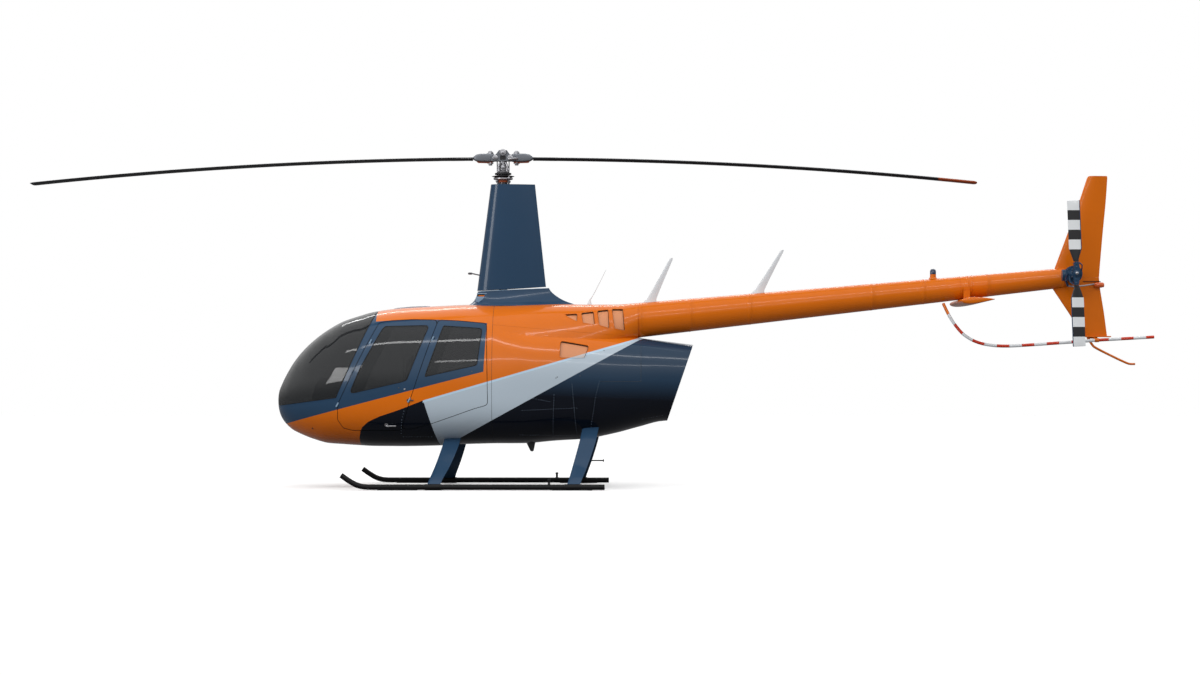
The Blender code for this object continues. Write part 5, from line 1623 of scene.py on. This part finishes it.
def build_interior():
    stitched = [("x", -0.33), ("x", 0.33), ("y", 0.55), ("y", -0.55)]
    for s, word in ((-1, "left"), (1, "right")):
        y = s * 0.295
        place_cushion("front_cushion_" + word, (0.455, 0.45, 0.13), (-1.185, y, 0.838), -3, stitched,
                      ["front_seat_" + word])
        place_cushion("front_back_cushion_" + word, (0.445, 0.46, 0.11), (-0.936, y, 1.118), -83, stitched)
        base = [box((-1.395, y - 0.205, 0.5612), (-0.90, y + 0.205, 0.775), 0.012),
                prism(rounded([(-0.885, 0.775), (-0.830, 1.345), (-0.862, 1.352), (-0.925, 0.775)], 0.01, 3),
                      y - 0.215, y + 0.215)]
        put(merged("base", base), "front_seat_frame_" + word, "trim", angle=40)
        place_cushion("bench_cushion_" + word, (0.55, 0.40, 0.13), (-0.400, s * 0.283, 0.838), -3, stitched,
                      ["rear_bench"] if s < 0 else [])
        place_cushion("bench_back_cushion_" + word, (0.53, 0.54, 0.10), (-0.192, s * 0.283, 1.165), -85, stitched)
        webbing([(-1.02, y + s * 0.205, 0.90), (-1.06, y + s * 0.16, 0.905), (-1.08, y, 0.914),
                 (-1.06, y - s * 0.16, 0.905), (-1.02, y - s * 0.205, 0.90)], 0.045, "lap_belt_" + word, (1, 0, 0.2))
        webbing([(-0.875, y + s * 0.13, 1.372), (-0.985, y + s * 0.125, 1.340), (-1.000, y + s * 0.10, 1.240),
                 (-1.020, y - s * 0.05, 1.040), (-1.055, y - s * 0.14, 0.915)], 0.045, "shoulder_belt_" + word)
        webbing([(-0.155, s * 0.40, 1.44), (-0.250, s * 0.39, 1.40), (-0.262, s * 0.33, 1.20),
                 (-0.290, s * 0.15, 0.94), (-0.300, s * 0.10, 0.905)], 0.045, "rear_belt_" + word)
        pedals = [box((-1.935, s * 0.30 + dy - 0.04, 0.60), (-1.925, s * 0.30 + dy + 0.04, 0.70), 0.003)
                  for dy in (-0.08, 0.08)]
        pedals += [tube([(-1.93, s * 0.30 + dy, 0.65), (-1.86, s * 0.30 + dy, 0.61), (-1.80, s * 0.30 + dy, 0.565)],
                        0.009, 10) for dy in (-0.08, 0.08)]
        put(merged("pedals", pedals), "pedals_" + word, "black", angle=40)
        lever = [tube(smooth_path([(-0.93, y - s * 0.235, 0.70), (-1.15, y - s * 0.235, 0.80),
                                   (-1.30, y - s * 0.235, 0.87)], 5), 0.011, 12),
                 tube([(-1.27, y - s * 0.235, 0.855), (-1.40, y - s * 0.235, 0.918)], 0.017, 14)]
        put(merged("lever", lever), "collective_" + word, "black", angle=45)

    profile = [(-1.995, 0.5612), (-1.995, 0.80), (-1.93, 1.06), (-1.86, 1.125), (-1.70, 1.125), (-1.640, 1.09),
               (-1.690, 0.80), (-1.640, 0.76), (-1.640, 0.5612)]
    body = prism(rounded(profile, 0.02, 4), -0.165, 0.165)
    put(body, "console_body", "trim", nodes=["instrument_console"], angle=35)
    hood = prism(rounded([(-1.90, 1.108), (-1.88, 1.130), (-1.66, 1.130), (-1.618, 1.100), (-1.660, 1.112)], 0.005, 3),
                 -0.17, 0.17)
    put(hood, "console_hood", "leather", angle=40)
    out = Vector((0.985, 0, -0.17)).normalized()
    dials, faces, hands = [], [], []
    for row, z in enumerate((1.035, 0.950)):
        for y in (-0.105, 0.0, 0.105):
            face = Vector((-1.690 + 0.05 * (z - 0.80) / 0.29, y, z)) + out * 0.004
            dials.append(lathe([(-0.006, 0.044), (0.004, 0.044), (0.006, 0.040), (0.004, 0.0375), (0.001, 0.0370)],
                               face, out, 28))
            faces.append(lathe([(0.000, 0.0365), (0.0022, 0.0365)], face, out, 28))
            tick = face + out * 0.003
            hands.append(tube([tick, tick + Vector((0, 0.012 + 0.006 * row, 0.022))], 0.0012, 6))
            for k in range(12):
                a = 2 * math.pi * k / 12
                spot = tick + Vector((0, 0.031 * math.cos(a), 0.031 * math.sin(a)))
                hands.append(tube([spot, spot + Vector((0, 0.004 * math.cos(a), 0.004 * math.sin(a)))], 0.0008, 4))
    put(merged("rings", dials), "dial_rings", "black", angle=40)
    put(merged("faces", faces), "dial_faces", "dial", angle=40)
    put(merged("hands", hands), "dial_hands", "white", angle=40)
    radios = [box((-1.660, -0.085, z), (-1.634, 0.085, z + 0.045), 0.004) for z in (0.60, 0.655, 0.71)]
    knobs = [lathe([(0.0, 0.010), (0.012, 0.009), (0.014, 0.007)], (-1.634, y, z + 0.022), (1, 0, 0), 16)
             for y in (-0.065, 0.065) for z in (0.60, 0.655, 0.71)]
    put(merged("radios", radios + knobs), "console_radios", "black", angle=40)

    stick = [tube([(-1.525, 0, 0.5605), (-1.525, 0, 1.005)], 0.016, 14, 0.012),
             tube([(-1.525, -0.20, 1.000), (-1.525, 0, 1.006), (-1.525, 0.20, 1.000)], 0.011, 12)]
    for s in (-1, 1):
        stick.append(tube(smooth_path([(-1.525, s * 0.195, 1.000), (-1.527, s * 0.235, 0.985),
                                       (-1.528, s * 0.262, 0.935), (-1.526, s * 0.268, 0.880)], 4), 0.016, 12))
    stick.append(lathe([(0.0, 0.045), (0.03, 0.040), (0.06, 0.022)], (-1.525, 0, 0.5605), (0, 0, 1), 20))
    put(merged("stick", stick), "cyclic_bar", "black", nodes=["cyclic_stick"], angle=45)
    post = panel_strip()
    put(post, "windshield_post", "blue", angle=45)


def panel_strip():
    """Centre post of the windshield, from the nose to the roof."""
    rings = []
    for x in [NOSE_X + u * u for u in np.linspace(0.06, 1.00, 40)]:
        row = cabin_hull.at(np.array([x]))[0]
        top = row[3]
        slope = float((cabin_hull.at(np.array([x + 0.004]))[0][3] - top) / 0.004)
        out = Vector((-slope, 0, 1)).normalized()
        centre = Vector((x, 0, top))
        rings.append([centre + out * lift + Vector((0, y, 0))
                      for y, lift in ((-0.0165, -0.0005), (0.0165, -0.0005), (0.0165, -0.024), (-0.0165, -0.024))])
    return grid_mesh("post", rings)


# Engine bay
def build_engine():
    pipe = smooth_path([(1.135, 0, 1.00), (1.22, 0, 1.00), (1.42, 0, 0.98), (1.66, 0, 0.935)], 6)
    outer = tube(pipe, 0.088, 32)
    boolean(outer, tube([p + (pipe[-1] - pipe[-2]) * (0.5 if i == len(pipe) - 1 else 0) for i, p in enumerate(pipe[4:])],
                        0.082, 32), "DIFFERENCE")
    put(outer, "exhaust_pipe", "dark_steel", nodes=["exhaust_duct"], angle=45)
    drum = [lathe([(0.0, 0.10), (0.004, 0.205), (0.012, 0.212), (0.10, 0.212), (0.112, 0.205), (0.114, 0.16)],
                  (1.128, 0, 1.02), (1, 0, 0), 48)]
    for k in range(12):
        a = 2 * math.pi * k / 12
        drum.append(bolt((1.232, 0.188 * math.cos(a), 1.02 + 0.188 * math.sin(a)), (1, 0, 0), 0.006, 0.006))
    put(merged("drum", drum), "fan_scroll", "trim", angle=40)
    fins = []
    for s in (-1, 1):
        for x in (0.52, 0.80):
            for k in range(7):
                y = s * (0.242 + 0.012 * k)
                fins.append(box((x - 0.08, min(y, y + s * 0.005), 0.86), (x + 0.08, max(y, y + s * 0.005), 1.05), 0.002, 1))
            fins.append(box((x - 0.06, min(s * 0.24, s * 0.335), 0.885), (x + 0.06, max(s * 0.24, s * 0.335), 1.025),
                            0.006, 2))
    put(merged("fins", fins), "engine_cylinders", "silver", angle=40)
    hoses = []
    for s in (-1, 1):
        hoses.append(tube(smooth_path([(0.52, s * 0.29, 0.87), (0.60, s * 0.27, 0.76), (0.90, s * 0.20, 0.72),
                                       (1.10, s * 0.10, 0.78), (1.20, s * 0.03, 0.90)], 6), 0.021, 14))
        hoses.append(tube(smooth_path([(0.80, s * 0.29, 0.87), (0.90, s * 0.24, 0.79), (1.08, s * 0.13, 0.83)], 6),
                          0.021, 14))
    put(merged("hoses", hoses), "exhaust_headers", "dark_steel", angle=50)
    frame_tubes = []
    for s in (-1, 1):
        for a, b in (((1.16, 0.20, 0.80), (1.385, 0.13, 1.50)), ((0.60, 0.33, 1.28), (1.385, 0.13, 1.52)),
                     ((1.385, 0.13, 1.52), (1.12, 0.26, 1.10))):
            frame_tubes.append(tube([(a[0], s * a[1], a[2]), (b[0], s * b[1], b[2])], 0.0095, 12))
    put(merged("frame", frame_tubes), "engine_frame_tubes", "pearl", angle=50)


build_stage()
build_cabin()
build_cowls()
build_mast()
build_boom()
build_fins()
build_blades()
build_tail_blades()
build_guard()
build_gear()
build_skin_details()
build_door_fittings()
build_rotor_head()
build_tail_details()
build_probes()
build_gear_details()
build_interior()
build_engine()

PLAIN = {"engine_block": "silver", "rear_bulkhead": "cloth", "cabin_floor": "carpet"}
for node, word in PLAIN.items():
    mesh_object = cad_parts[node]
    for slot in mesh_object.material_slots:
        slot.material = MAT[word]
